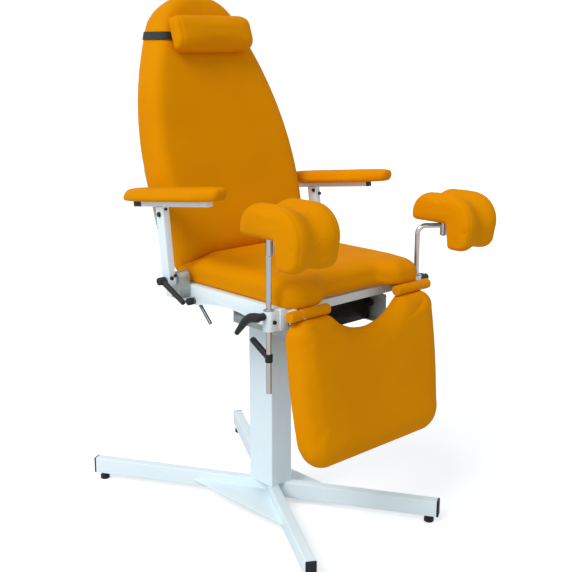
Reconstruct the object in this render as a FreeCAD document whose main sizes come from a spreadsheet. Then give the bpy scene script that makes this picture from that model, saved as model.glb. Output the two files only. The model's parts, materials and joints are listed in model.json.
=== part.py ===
import FreeCAD, Part
import Sketcher
import math
import os

# Gynaecological examination chair on a cross-shaped foot.
# The origin is on the floor under the column, +Z is up, the chair faces -Y,
# and the sitter's right hand is at -X. All lengths are millimetres, all angles degrees.

SIZES = {
    # Foot: a cross of box tubes on four levelling feet
    "tube_height": 50,
    "tube_width": 30,
    "tube_wall": 2,
    "tube_corner": 3,
    "rear_reach": 583,
    "front_reach": 510,
    "spread": 30.45,
    "cap_depth": 6,
    "foot_height": 21,
    "foot_radius": 14.5,
    "foot_inset": 23,
    "stud_radius": 5,
    "stud_length": 24,
    "gusset_reach": 245,
    "gusset_thickness": 6,
    "gusset_rise": 16,
    # Column and its head plate
    "column_width": 80,
    "column_depth": 100,
    "column_wall": 3,
    "head_width": 150,
    "head_depth": 120,
    "head_thickness": 8,
    # Seat frame
    "frame_top": 720,
    "frame_span": 237,
    "rail_width": 25,
    "rail_height": 55,
    "rail_wall": 4,
    "rail_front": 330,
    "rail_rear": 150,
    "arch_length": 250,
    "arch_rise": 18,
    "arch_forward": 118,
    "cross_width": 30,
    "cross_height": 25,
    "cross_wall": 2,
    "cross_front": 285,
    "cross_middle": 35,
    "board_thickness": 12,
    "lug_thickness": 6,
    "lug_radius": 14,
    "hinge_radius": 6,
    "hinge_gap": 2,
    "arm_thickness": 8,
    "arm_depth": 18,
    "running_clearance": 0.05,
    "soft_clearance": 0.4,
    # Seat cushion
    "seat_half": 250,
    "seat_front": 366,
    "seat_rear": 128,
    "seat_depth": 65,
    "notch_half": 125,
    "notch_depth": 40,
    # Backrest
    "back_axis": 122,
    "back_drop": 14,
    "back_lean": 19,
    "back_face": 77,
    "back_pad": 105,
    "back_board": 12,
    "back_foot": 72,
    "back_top": 822,
    "back_foot_half": 228,
    "back_wide_half": 289,
    "back_wide": 425,
    "back_top_half": 104,
    "back_arm_length": 340,
    "back_bar_low": 110,
    "back_bar_high": 300,
    "bar_height": 22,
    # Headrest
    "head_roll_half": 137,
    "head_roll_height": 103,
    "head_roll_depth": 54,
    "head_roll_rise": 690,
    "strap_height": 24,
    "strap_thickness": 2,
    "strap_half": 172.5,
    # Armrests
    "armrest_offset": 58,
    "right_armrest_axis": 55,
    "left_armrest_axis": 125,
    "armrest_rise": 19,
    "armrest_lean": 6.5,
    "post_width": 22,
    "post_depth": 34,
    "right_post_length": 200,
    "left_post_length": 183,
    "bar_width": 20,
    "bar_depth": 15,
    "bar_wall": 2,
    "right_bar_front": 203,
    "left_bar_front": 235,
    "right_bar_rear": 114,
    "left_bar_rear": 60,
    "bar_cap": 4,
    "bolt_radius": 7,
    "bolt_head": 5,
    "bolt_down": 20,
    "armpad_half": 40,
    "armpad_depth": 35,
    "right_armpad_front": 248,
    "left_armpad_front": 306,
    "right_armpad_rear": 141,
    "left_armpad_rear": 89,
    "bracket_depth": 38,
    "bracket_drop": 36,
    "pivot_radius": 6,
    "collar_radius": 11,
    "collar_length": 9,
    "armlever_hub": 11,
    "armlever_width": 20,
    "armlever_radius": 6.2,
    "armlever_length": 105,
    "armlever_fall": 25,
    # Leg rest
    "leg_axis": 366,
    "leg_drop": 13,
    "leg_lean": 7.5,
    "leg_half": 258,
    "leg_bottom_half": 250,
    "leg_top": 18,
    "leg_bottom": 404,
    "leg_face": 38,
    "leg_pad": 58,
    "leg_board": 7,
    "mouth_half": 140,
    "mouth_depth": 126,
    "leg_arm_length": 300,
    "leg_bar_drop": 200,
    "roll_radius": 15,
    "roll_inner": 132,
    # Gas springs
    "spring_inset": 31,
    "spring_radius": 9,
    "spring_eye": 10,
    "spring_rod": 4,
    "spring_drop": 15,
    "back_anchor": 45,
    "leg_anchor": 85,
    "back_cylinder": 108,
    "leg_cylinder": 170,
    "back_rod_length": 104,
    "leg_rod_length": 161,
    "crank": 45,
    "back_crank_angle": 35.5,
    "leg_crank_angle": 55,
    "open_pivot_radius": 11,
    "open_pivot_drop": 4.3,
    "anchor_plate": 6,
    # Release levers under the right rail
    "release_inset": 12,
    "release_shaft": 6,
    "release_rod": 5,
    "back_release_forward": -22,
    "back_release_drop": 44,
    "back_release_length": 80,
    "back_release_angle": 45,
    "leg_release_forward": 240,
    "leg_release_drop": 45,
    "leg_release_length": 98,
    "leg_release_angle": 2,
    "release_head": 20,
    "release_head_radius": 10,
    # Leg holders
    "holder_offset": 23,
    "holder_forward": 311,
    "clamp_radius": 15,
    "clamp_height": 52,
    "bush_radius": 11,
    "bush_lip": 2,
    "holder_radius": 7,
    "holder_bend": 24,
    "holder_run": 75,
    "holder_length": 404,
    "right_holder_height": 904,
    "left_holder_height": 862,
    "right_holder_turn": 39,
    "left_holder_turn": 53,
    "boss_radius": 10,
    "boss_below": 28,
    "stem_radius": 5,
    "holder_seat": 22,
    "mount_plate": 3,
    "grip_drop": 310,
    "grip_radius": 7.5,
    "grip_length": 76,
    "grip_angle": 30,
    "grip_collar": 11,
    "clamplever_hub": 11,
    "clamplever_width": 34,
    "clamplever_length": 96,
    "clamplever_root": 9,
    "clamplever_tip": 6,
    "clamplever_fall": 36,
    "clamplever_rise": 14,
    "clampscrew_radius": 4,
    # Knee pads
    "knee_half": 66,
    "knee_inboard": 15,
    "knee_ahead": 66,
    "knee_rear": 118,
    "knee_front": 96,
    "knee_top": 77,
    "knee_hang": 70,
    "knee_saddle": 15,
    "knee_corner": 0.8,
    "mount_gap": 1,
    # Drain tray
    "tray_half": 146,
    "tray_front": 258,
    "tray_rear": 75,
    "tray_depth": 57,
    "tray_wall": 2.5,
    "tray_rim": 6.5,
    "tray_drop": 56,
    "runner_thickness": 3,
    "runner_front": 312,
    "runner_ledge": 12,
    "runner_lip": 6,
    "runner_gap": 2,
    "knob_radius": 9,
    "knob_length": 18,
}

# Places that follow from the sizes
PLACES = {
    "tube_top": "Sizes.foot_height + Sizes.tube_height",
    "rail_outer": "Sizes.frame_span + Sizes.rail_width",
    "armrest_out": "rail_outer + Sizes.armrest_offset",
    "holder_out": "rail_outer + Sizes.holder_offset",
    "release_out": "rail_outer - Sizes.release_inset",
    "rail_low": "Sizes.frame_top - Sizes.rail_height",
    "web_inner": "rail_outer - Sizes.rail_wall",
    "board_low": "Sizes.frame_top - Sizes.board_thickness",
    "cross_low": "board_low - Sizes.cross_height",
    "column_top": "cross_low - Sizes.head_thickness",
    "arch_radius": "(Sizes.arch_length ^ 2 / 4 + Sizes.arch_rise ^ 2) / (2 * Sizes.arch_rise)",
    "lug_inner": "Sizes.frame_span - Sizes.lug_thickness",
    "arm_outer": "lug_inner - Sizes.hinge_gap",
    "arm_inner": "arm_outer - Sizes.arm_thickness",
    "spring_offset": "arm_inner - Sizes.spring_inset",
    "back_axis_z": "Sizes.frame_top - Sizes.back_drop",
    "leg_axis_z": "Sizes.frame_top - Sizes.leg_drop",
    "back_rear": "Sizes.back_pad + Sizes.back_board - Sizes.back_face",
    "leg_rear": "Sizes.leg_pad + Sizes.leg_board - Sizes.leg_face",
    "back_ear_y": "Sizes.crank * sin(Sizes.back_crank_angle + Sizes.back_lean)",
    "back_ear_z": "-Sizes.crank * cos(Sizes.back_crank_angle + Sizes.back_lean)",
    "leg_ear_y": "Sizes.crank * sin(Sizes.leg_crank_angle + Sizes.leg_lean)",
    "leg_ear_z": "-Sizes.crank * cos(Sizes.leg_crank_angle + Sizes.leg_lean)",
    "ear": "Sizes.open_pivot_radius + 5",
    "anchor_z": "cross_low - Sizes.spring_drop",
    "back_pin_y": "Sizes.back_axis + Sizes.crank * sin(Sizes.back_crank_angle)",
    "back_pin_z": "back_axis_z - Sizes.crank * cos(Sizes.back_crank_angle) - Sizes.open_pivot_drop",
    "leg_pin_y": "-Sizes.leg_axis + Sizes.crank * sin(Sizes.leg_crank_angle)",
    "leg_pin_z": "leg_axis_z - Sizes.crank * cos(Sizes.leg_crank_angle) - Sizes.open_pivot_drop",
    "armrest_axis_z": "Sizes.frame_top + Sizes.armrest_rise",
    "post_inner": "armrest_out - Sizes.post_width / 2",
    "post_outer": "armrest_out + Sizes.post_width / 2",
    "bracket_end": "post_inner - Sizes.collar_length",
    "armlever_in": "post_outer + Sizes.hinge_gap",
    "armlever_out": "armlever_in + Sizes.armlever_width",
    "clamp_low": "Sizes.frame_top - Sizes.bush_lip - Sizes.clamp_height",
    "clamp_top": "Sizes.frame_top - Sizes.bush_lip",
    "clamplever_in": "holder_out + Sizes.clamp_radius + Sizes.soft_clearance",
    "clamplever_z": "Sizes.frame_top - Sizes.clamplever_rise",
    "tray_top": "Sizes.frame_top - Sizes.tray_drop",
    "tray_low": "tray_top - Sizes.tray_depth",
    "rim_low": "tray_top - Sizes.tray_wall",
    "runner_in": "Sizes.tray_half + Sizes.runner_gap",
    "runner_out": "runner_in + Sizes.runner_lip",
}

SIDES = (("right", -1), ("left", 1))
ALONG_X = FreeCAD.Rotation(FreeCAD.Vector(0, 1, 0), 90)
ALONG_Y = FreeCAD.Rotation(FreeCAD.Vector(1, 0, 0), -90)
ALONG_Z = FreeCAD.Rotation()
UPRIGHT = FreeCAD.Rotation(FreeCAD.Vector(1, 0, 0), 90)
SIDEWAYS = FreeCAD.Rotation(FreeCAD.Vector(1, 1, 1), 120)
AXIS_X = FreeCAD.Vector(1, 0, 0)
AXIS_Z = FreeCAD.Vector(0, 0, 1)

# How a cushion's side bulges and its crown rounds off: share of its depth, inset of its outline
CROWN = ((0, 9), (0.2, 1.5), (0.48, 0), (0.76, 3.5), (0.92, 13), (1, 34))
SLIM_CROWN = ((0, 5), (0.3, 0), (0.62, 1.5), (0.88, 6), (1, 15))
PANEL_CROWN = ((0, 6), (0.25, 0.5), (0.45, 0), (0.65, 4), (0.8, 11), (0.92, 22), (1, 40))
LEAST_CORNER_SHARE = 0.45

# How a cushion closes towards its two ends: share of its half width, inset of its side outline
ROLL_ENDS = ((0, 0), (0.25, 0), (0.5, 0), (0.7, 0.2), (0.84, 1), (0.93, 4), (1, 13))
KNEE_ENDS = ((0, 0), (0.25, 0), (0.5, 0), (0.7, 0.4), (0.86, 2.5), (1, 12))

doc = FreeCAD.newDocument("ExaminationChair")
sizes = doc.addObject("Spreadsheet::Sheet", "Sizes")
places = doc.addObject("Spreadsheet::Sheet", "Places")
nodes = []


def fill(sheet, cells):
    for row, (alias, content) in enumerate(cells.items(), 1):
        sheet.set(f"A{row}", alias)
        sheet.set(f"B{row}", content)
        sheet.setAlias(f"B{row}", alias)
    doc.recompute()


def number(expression):
    return float(sizes.evalExpression(expression))


def node(item, label):
    """Names a finished sub-part, so that it is checked and written."""
    item.Label = label
    nodes.append(item)
    return item


def move(item, x="0", y="0", z="0"):
    for axis, expression in zip("xyz", (x, y, z)):
        item.setExpression(f".Placement.Base.{axis}", expression)
    return item


def turn(item, axis, angle, x="0", y="0", z="0"):
    """Turns a piece about an axis through its own origin, then carries it to its place."""
    item.Placement = FreeCAD.Placement(FreeCAD.Vector(), FreeCAD.Rotation(axis, 1))
    item.setExpression(".Placement.Rotation.Angle", angle)
    return move(item, x, y, z)


def lean_back(item):
    return turn(item, AXIS_X, "-Sizes.back_lean", "0", "Sizes.back_axis", "Places.back_axis_z")


def lean_leg(item):
    return turn(item, AXIS_X, "-Sizes.leg_lean", "0", "-Sizes.leg_axis", "Places.leg_axis_z")


def lean_armrest(item, side, sign):
    out, axis = f"{sign} * Places.armrest_out", f"Sizes.{side}_armrest_axis"
    return turn(item, AXIS_X, "-Sizes.armrest_lean", out, axis, "Places.armrest_axis_z")


def block(name, x, y, z):
    """A box between three pairs of low and high expressions."""
    item = doc.addObject("Part::Box", name)
    for length, axis, (low, high) in zip(("Length", "Width", "Height"), "xyz", (x, y, z)):
        item.setExpression(length, f"({high}) - ({low})")
        item.setExpression(f".Placement.Base.{axis}", low)
    return item


def sideways(sign, low, high):
    """The x pair of a piece that lies between two distances on one side of the chair."""
    return (f"-({high})", f"-({low})") if sign < 0 else (low, high)


def bar(name, direction, radius, length, x="0", y="0", z="0"):
    """A round bar from a point along one of the three directions."""
    item = doc.addObject("Part::Cylinder", name)
    item.Placement = FreeCAD.Placement(FreeCAD.Vector(), direction)
    item.setExpression("Radius", radius)
    item.setExpression("Height", length)
    return move(item, x, y, z)


def cross_bar(name, sign, radius, low, high, y="0", z="0"):
    """A round bar across the chair, between two distances on one side."""
    start, end = sideways(sign, low, high)
    return bar(name, ALONG_X, radius, f"({end}) - ({start})", start, y, z)


def joined(name, *pieces):
    item = doc.addObject("Part::MultiFuse", name)
    item.Shapes = list(pieces)
    item.Refine = True
    return item


def carved(name, base, *tools):
    item = doc.addObject("Part::Cut", name)
    item.Base = base
    item.Tool = tools[0] if len(tools) == 1 else joined(f"{name}_tools", *tools)
    return item


def group(name, *pieces):
    item = doc.addObject("Part::Compound", name)
    item.Links = list(pieces)
    return item


def sketch_on(body, role):
    sketch = body.newObject("Sketcher::SketchObject", f"{body.Name}_sketch")
    plane = next(feature for feature in body.Origin.OriginFeatures if feature.Role == role)
    sketch.AttachmentSupport = [(plane, "")]
    sketch.MapMode = "FlatFace"
    return sketch


def draw_corners(sketch, corners):
    """A closed loop of lines whose corners are held by expressions."""
    points = [FreeCAD.Vector(number(across), number(up), 0) for across, up in corners]
    count = len(points)
    first = sketch.GeometryCount
    for here, point in enumerate(points):
        sketch.addGeometry(Part.LineSegment(point, points[(here + 1) % count]))
    for here in range(count):
        following = first + (here + 1) % count
        sketch.addConstraint(Sketcher.Constraint("Coincident", first + here, 2, following, 1))
    for here, (point, pair) in enumerate(zip(points, corners)):
        for kind, distance, expression in zip(("DistanceX", "DistanceY"), (point.x, point.y), pair):
            held = sketch.addConstraint(Sketcher.Constraint(kind, -1, 1, first + here, 1, distance))
            sketch.setExpression(f"Constraints[{held}]", expression)


def draw_hole(sketch, across, up, radius):
    centre = FreeCAD.Vector(number(across), number(up), 0)
    circle = sketch.addGeometry(Part.Circle(centre, AXIS_Z, number(radius)))
    for kind, distance, expression in zip(("DistanceX", "DistanceY"), centre, (across, up)):
        held = sketch.addConstraint(Sketcher.Constraint(kind, -1, 1, circle, 3, distance))
        sketch.setExpression(f"Constraints[{held}]", expression)
    held = sketch.addConstraint(Sketcher.Constraint("Radius", circle, number(radius)))
    sketch.setExpression(f"Constraints[{held}]", radius)


def plate(name, role, thickness, corners, holes=(), corner_radius=None, cavity=None):
    """A flat plate padded from a sketch, with its upright corners rounded if a radius is given."""
    body = doc.addObject("PartDesign::Body", name)
    sketch = sketch_on(body, role)
    draw_corners(sketch, corners)
    if cavity:
        draw_corners(sketch, cavity)
    for hole in holes:
        draw_hole(sketch, *hole)
    pad = body.newObject("PartDesign::Pad", f"{name}_pad")
    pad.Profile = sketch
    pad.setExpression("Length", thickness)
    if corner_radius:
        doc.recompute()
        along = number(thickness)
        upright = [
            f"Edge{place}"
            for place, edge in enumerate(pad.Shape.Edges, 1)
            if isinstance(edge.Curve, Part.Line) and abs(edge.Length - along) < 1e-6
        ]
        fillet = body.newObject("PartDesign::Fillet", f"{name}_fillet")
        fillet.Base = (pad, upright)
        fillet.setExpression("Radius", corner_radius)
        body.Tip = fillet
    return body


def rectangle(across, up):
    """The corners of a rectangle between two pairs of low and high expressions."""
    return [(across[0], up[0]), (across[1], up[0]), (across[1], up[1]), (across[0], up[1])]


def box_tube(name, role, length, across, up, wall):
    """A hollow section with rounded corners, padded along its length."""
    inner_across = (f"{across[0]} + {wall}", f"{across[1]} - {wall}")
    inner_up = (f"{up[0]} + {wall}", f"{up[1]} - {wall}")
    cavity = rectangle(inner_across, inner_up)
    return plate(name, role, length, rectangle(across, up), (), "Sizes.tube_corner", cavity)


def turned(name, corners):
    """A round piece revolved about Z from half of its section."""
    body = doc.addObject("PartDesign::Body", name)
    sketch = sketch_on(body, "XZ_Plane")
    draw_corners(sketch, corners)
    revolution = body.newObject("PartDesign::Revolution", f"{name}_revolution")
    revolution.Profile = sketch
    revolution.ReferenceAxis = (sketch, ["V_Axis"])
    revolution.Angle = 360
    return body


def inset(corners, distance):
    """The corners of an outline drawn in by a distance; the outline runs anticlockwise."""
    count = len(corners)
    points = [FreeCAD.Vector(x, y, 0) for x, y, radius in corners]
    ways = [(points[(here + 1) % count] - points[here]).normalize() for here in range(count)]
    drawn_in = []
    for here in range(count):
        before, after = ways[here - 1], ways[here]
        bend = before.x * after.y - before.y * after.x
        inward = FreeCAD.Vector(-before.y - after.y, before.x + after.x, 0)
        corner = points[here] + inward * (distance / (1 + before.dot(after)))
        radius = corners[here][2]
        radius = max(radius - distance, radius * LEAST_CORNER_SHARE) if bend > 0 else radius + distance
        drawn_in.append((corner.x, corner.y, radius))
    return drawn_in


def rounded(corners, height):
    """A closed wire of lines and tangent arcs, at a height above the outline's plane."""
    count = len(corners)
    points = [FreeCAD.Vector(x, y, height) for x, y, radius in corners]
    arcs = []
    for here, (x, y, radius) in enumerate(corners):
        back = (points[here - 1] - points[here]).normalize()
        ahead = (points[(here + 1) % count] - points[here]).normalize()
        half = back.getAngle(ahead) / 2
        reach = radius / math.tan(half)
        middle = points[here] + (back + ahead).normalize() * (radius / math.sin(half) - radius)
        arcs.append((points[here] + back * reach, middle, points[here] + ahead * reach))
    edges = []
    for here, (start, middle, end) in enumerate(arcs):
        edges.append(Part.Arc(start, middle, end).toShape())
        edges.append(Part.LineSegment(end, arcs[(here + 1) % count][0]).toShape())
    return Part.Wire(edges)


def feature(name, shape, rotation, x="0", y="0", z="0", lean=None):
    """A lofted or extruded solid, carried from its outline's plane to its place."""
    item = doc.addObject("Part::Feature", name)
    item.Shape = shape
    tilt = FreeCAD.Rotation(AXIS_X, -number(lean)) if lean else ALONG_Z
    place = FreeCAD.Vector(number(x), number(y), number(z))
    item.Placement = FreeCAD.Placement(place, tilt * rotation)
    return item


def cushion(corners, base, depth, crown):
    layers = [rounded(inset(corners, drawn), base + depth * share) for share, drawn in crown]
    return Part.makeLoft(layers, True, False)


def across(ends):
    """Mirrors the layers of one half of a cushion, listed from its middle outwards."""
    return [(-share, drawn) for share, drawn in reversed(ends)] + list(ends[1:])


def board(corners, base, thickness, edge):
    """A plywood board inside a cushion's outline."""
    face = Part.Face(rounded(inset(corners, edge), base))
    return face.extrude(FreeCAD.Vector(0, 0, thickness))


def foot_cross():
    """The through tube, the two half arms welded to it, gussets, end caps and feet."""
    half_width = "Sizes.tube_width / 2"
    wall = "Sizes.tube_wall"
    ends = ("-Sizes.rear_reach", "Sizes.front_reach")
    bore = "Sizes.stud_radius + Sizes.running_clearance"
    low, high = "Sizes.foot_height", "Places.tube_top"
    angles = {"through": "-(90 - Sizes.spread)", "half": "-(90 + Sizes.spread)"}
    tubes = {}
    for name in angles:
        length = "Sizes.rear_reach + Sizes.front_reach"
        breadth = (f"-{half_width}", half_width)
        section = box_tube(f"{name}_section", "YZ_Plane", length, breadth, (low, high), wall)
        move(section, ends[0])
        holes = [
            bar(f"{name}_hole_{end}", ALONG_Z, bore, "Sizes.tube_wall * 2", at, "0", f"{low} - {wall}")
            for end, at in foot_stations().items()
        ]
        tubes[name] = carved(f"{name}_tube", section, *holes)
    through = turn(tubes["through"], AXIS_Z, angles["through"])
    node(through, "base_through_tube")
    crossing = block("crossing", ends, (f"-{half_width}", half_width), (low, high))
    turn(tubes["half"], AXIS_Z, angles["half"])
    node(carved("half_arms", tubes["half"], turned_with(crossing, angles["through"])), "base_half_arms")

    reach_x = "(Sizes.gusset_reach * sin(Sizes.spread) + Sizes.tube_width / 2 * cos(Sizes.spread))"
    reach_y = "(Sizes.gusset_reach * cos(Sizes.spread) - Sizes.tube_width / 2 * sin(Sizes.spread))"
    apex = "Sizes.tube_width / 2 / cos(Sizes.spread)"
    gussets = []
    for side, sign in SIDES:
        corners = [
            (f"{sign} * {apex}", "0"),
            (f"{sign} * {reach_x}", f"-{reach_y}"),
            (f"{sign} * {reach_x}", reach_y),
        ]
        gusset = plate(f"{side}_gusset", "XY_Plane", "Sizes.gusset_thickness", corners)
        gussets.append(move(gusset, z="Sizes.foot_height + Sizes.gusset_rise"))
    node(group("gussets", *gussets), "base_gussets")

    caps = []
    for name, angle in angles.items():
        for end, (start, stop) in {
            "front": (ends[1], f"{ends[1]} + Sizes.cap_depth"),
            "rear": (f"{ends[0]} - Sizes.cap_depth", ends[0]),
        }.items():
            cap = block(f"{name}_{end}_cap", (start, stop), (f"-{half_width}", half_width), (low, high))
            caps.append(turned_with(cap, angle))
    node(group("end_caps", *caps), "base_end_caps")


def foot_stations():
    return {
        "front": "Sizes.front_reach - Sizes.foot_inset",
        "rear": "-(Sizes.rear_reach - Sizes.foot_inset)",
    }


def turned_with(piece, angle):
    """A piece turned about the column's axis, where its own origin is elsewhere."""
    return turn(group(f"{piece.Name}_turned", piece), AXIS_Z, angle)


def levelling_feet():
    radius = "Sizes.foot_radius"
    stud = "Sizes.stud_radius"
    neck = "Sizes.stud_radius + 4"
    top = "Sizes.foot_height"
    section = [
        ("0", "0"),
        (f"{radius} - 2", "0"),
        (radius, "2"),
        (radius, f"{top} - 9"),
        (neck, f"{top} - 6"),
        (neck, top),
        (stud, top),
        (stud, f"{top} + Sizes.stud_length"),
        ("0", f"{top} + Sizes.stud_length"),
    ]
    stations = foot_stations()
    feet = {
        "right_front_foot": (stations["front"], "-(90 + Sizes.spread)"),
        "left_front_foot": (stations["front"], "-(90 - Sizes.spread)"),
        "right_rear_foot": (stations["rear"], "-(90 - Sizes.spread)"),
        "left_rear_foot": (stations["rear"], "-(90 + Sizes.spread)"),
    }
    for name, (station, angle) in feet.items():
        foot = turned(name, section)
        move(foot, f"({station}) * cos({angle})", f"({station}) * sin({angle})")
        node(foot, name)


def column():
    across = ("-Sizes.column_width / 2", "Sizes.column_width / 2")
    along = ("-Sizes.column_depth / 2", "Sizes.column_depth / 2")
    height = "Places.column_top - Places.tube_top"
    tube = box_tube("column_tube", "XY_Plane", height, across, along, "Sizes.column_wall")
    node(move(tube, z="Places.tube_top"), "column")


def seat_frame():
    for side, sign in SIDES:
        outer = block(
            f"{side}_rail_outer",
            sideways(sign, "Sizes.frame_span", "Places.rail_outer"),
            ("-Sizes.rail_front", "Sizes.rail_rear"),
            ("Places.rail_low", "Sizes.frame_top"),
        )
        hollow = block(
            f"{side}_rail_hollow",
            sideways(sign, "Sizes.frame_span", "Places.web_inner"),
            ("-Sizes.rail_front + Sizes.rail_wall", "Sizes.rail_rear - Sizes.rail_wall"),
            ("Places.rail_low", "Sizes.frame_top - Sizes.rail_wall"),
        )
        arch = cross_bar(
            f"{side}_rail_arch",
            sign,
            "Places.arch_radius",
            "Sizes.frame_span",
            "Places.rail_outer",
            "-Sizes.arch_forward",
            "Places.rail_low + Sizes.arch_rise - Places.arch_radius",
        )
        tools = [hollow, arch]
        if side == "right":
            for name, forward, drop in release_shafts():
                bore = "Sizes.release_shaft + Sizes.running_clearance"
                at = (f"-{forward}", f"Sizes.frame_top - {drop}")
                tools.append(cross_bar(f"{name}_bore", sign, bore, "Places.web_inner", "Places.rail_outer", *at))
        node(carved(f"{side}_rail", outer, *tools), f"{side}_seat_rail")

    tubes = []
    half = "Sizes.cross_width / 2"
    wall = "Sizes.cross_wall"
    for name, y in {
        "front": "-Sizes.cross_front",
        "middle": "-Sizes.cross_middle",
        "rear": "Sizes.cross_middle",
    }.items():
        along = (f"{y} - {half}", f"{y} + {half}")
        up = ("Places.cross_low", "Places.board_low")
        tube = box_tube(f"cross_{name}", "YZ_Plane", "Places.web_inner * 2", along, up, wall)
        tubes.append(move(tube, "-Places.web_inner"))
    head = block(
        "column_head",
        ("-Sizes.head_width / 2", "Sizes.head_width / 2"),
        ("-Sizes.head_depth / 2", "Sizes.head_depth / 2"),
        ("Places.column_top", "Places.cross_low"),
    )
    node(group("cross_frame", head, *tubes), "seat_cross_frame")

    lugs = []
    for side, sign in SIDES:
        lug_x = sideways(sign, "Places.lug_inner", "Sizes.frame_span")
        for name, y, z, foot in (
            ("leg", "-Sizes.leg_axis", "Places.leg_axis_z", ("-Sizes.leg_axis", "-Sizes.rail_front + 20")),
            ("back", "Sizes.back_axis", "Places.back_axis_z", ("Sizes.back_axis", "Sizes.rail_rear")),
        ):
            radius, outer = "Sizes.lug_radius", "Sizes.frame_span"
            up = (f"{z} - {radius}", f"min(Sizes.frame_top; {z} + {radius})")
            tongue = block(f"{side}_{name}_tongue", lug_x, foot, up)
            eye = cross_bar(f"{side}_{name}_eye", sign, radius, "Places.lug_inner", outer, y, z)
            pin_end = "Places.arm_inner + Sizes.soft_clearance"
            pin = cross_bar(f"{side}_{name}_pin", sign, "Sizes.hinge_radius", pin_end, outer, y, z)
            lugs.append(joined(f"{side}_{name}_lug", tongue, eye, pin))
    node(group("hinge_lugs", *lugs), "hinge_lugs")


def seat_outline():
    half, front, rear = number("Sizes.seat_half"), number("Sizes.seat_front"), number("Sizes.seat_rear")
    notch, depth = number("Sizes.notch_half"), number("Sizes.notch_depth")
    slope = depth * 1.3
    return [
        (-half, rear, 26),
        (-half, -front, 42),
        (-notch - slope / 2, -front, 30),
        (-notch + slope / 2, depth - front, 40),
        (notch - slope / 2, depth - front, 40),
        (notch + slope / 2, -front, 30),
        (half, -front, 42),
        (half, rear, 26),
    ]


def seat():
    outline = seat_outline()
    top = number("Sizes.frame_top")
    soft = cushion(outline, top, number("Sizes.seat_depth"), CROWN)
    node(feature("seat_cushion", soft, ALONG_Z), "seat_cushion")
    edge = number("Sizes.seat_half - Places.arm_inner + Sizes.hinge_gap")
    thick = number("Sizes.board_thickness")
    node(feature("seat_board", board(outline, top - thick, thick, edge), ALONG_Z), "seat_board")


def hinge_arm(name, sign, ear_y, ear_z, corners):
    """A flat arm with its hinge bore and the wide eye of the spring's open pivot."""
    holes = [
        ("0", "0", "Sizes.hinge_radius + Sizes.running_clearance"),
        (ear_y, ear_z, "Sizes.open_pivot_radius"),
    ]
    arm = plate(name, "YZ_Plane", "Sizes.arm_thickness", corners, holes, "3")
    start, end = sideways(sign, "Places.arm_inner", "Places.arm_outer")
    return start, arm


def backrest():
    ear_y, ear_z = "Places.back_ear_y", "Places.back_ear_z"
    rear = "Places.back_rear"
    far = "Places.back_rear + Sizes.arm_depth"
    boss = "Sizes.lug_radius"
    corners = [
        (f"2 - {boss}", f"-{boss}"),
        (f"2 - {boss}", f"{boss} - 12"),
        (f"10 - {boss}", f"{boss} - 1.5"),
        (rear, f"{boss} + 6"),
        (rear, "Sizes.back_arm_length"),
        (far, "Sizes.back_arm_length"),
        (far, boss),
        (f"{ear_y} + Places.ear", f"{ear_z} + Places.ear / 2"),
        (f"{ear_y} + Places.ear", f"{ear_z} - Places.ear"),
        (f"{ear_y} - Places.ear", f"{ear_z} - Places.ear"),
    ]
    for side, sign in SIDES:
        start, arm = hinge_arm(f"{side}_back_arm", sign, ear_y, ear_z, corners)
        lean_back(arm)
        node(move(arm, start, "Sizes.back_axis", "Places.back_axis_z"), f"{side}_back_arm")
    bars = [
        block(
            f"back_bar_{place}",
            ("-Places.arm_inner", "Places.arm_inner"),
            (rear, far),
            (f"Sizes.back_bar_{place}", f"Sizes.back_bar_{place} + Sizes.bar_height"),
        )
        for place in ("low", "high")
    ]
    node(lean_back(group("back_bars", *bars)), "back_cross_bars")

    foot_half, wide_half = number("Sizes.back_foot_half"), number("Sizes.back_wide_half")
    foot, wide, top = number("Sizes.back_foot"), number("Sizes.back_wide"), number("Sizes.back_top")
    top_half = number("Sizes.back_top_half")
    outline = [
        (-foot_half, foot, 34),
        (foot_half, foot, 34),
        (wide_half, wide, 880),
        (top_half, top, top_half * 1.28),
        (-top_half, top, top_half * 1.28),
        (-wide_half, wide, 880),
    ]
    at = ("0", "Sizes.back_axis", "Places.back_axis_z", "Sizes.back_lean")
    face, depth = number("Sizes.back_face"), number("Sizes.back_pad")
    thick = number("Sizes.back_board")
    soft = cushion(outline, face - depth, depth, CROWN)
    node(feature("back_cushion", soft, UPRIGHT, *at), "back_cushion")
    node(feature("back_board", board(outline, face - depth - thick, thick, 12), UPRIGHT, *at), "back_board")


def headrest():
    at = ("0", "Sizes.back_axis", "Places.back_axis_z", "Sizes.back_lean")
    rise, half_tall = number("Sizes.head_roll_rise"), number("Sizes.head_roll_height / 2")
    rear = -number("Sizes.back_face + Sizes.soft_clearance + Sizes.strap_thickness")
    deep, clear = number("Sizes.head_roll_depth"), number("Sizes.soft_clearance")
    front, behind = rear - deep, rear - clear / 4
    half = number("Sizes.head_roll_half")
    outline = [
        (front, rise - half_tall, deep * 0.62),
        (behind, rise - half_tall, deep * 0.16),
        (behind, rise + half_tall, deep * 0.16),
        (front, rise + half_tall, deep * 0.62),
    ]
    layers = [rounded(inset(outline, drawn), half * share) for share, drawn in across(ROLL_ENDS)]
    roll = Part.makeLoft(layers, True, False)
    node(feature("headrest_cushion", roll, SIDEWAYS, *at), "headrest_cushion")

    thick = number("Sizes.strap_thickness")
    width, tall = number("Sizes.strap_half"), number("Sizes.strap_height")
    behind = number("Places.back_rear") + clear
    ring = [
        (-width, rear + thick, 22),
        (width, rear + thick, 22),
        (width, behind, 6),
        (-width, behind, 6),
    ]
    outer = Part.Face(rounded(inset(ring, -thick), rise - tall / 2))
    inner = Part.Face(rounded(ring, rise - tall / 2))
    strap = outer.cut(inner).extrude(FreeCAD.Vector(0, 0, tall))
    node(feature("headrest_strap", strap, ALONG_Z, *at), "headrest_strap")


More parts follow.
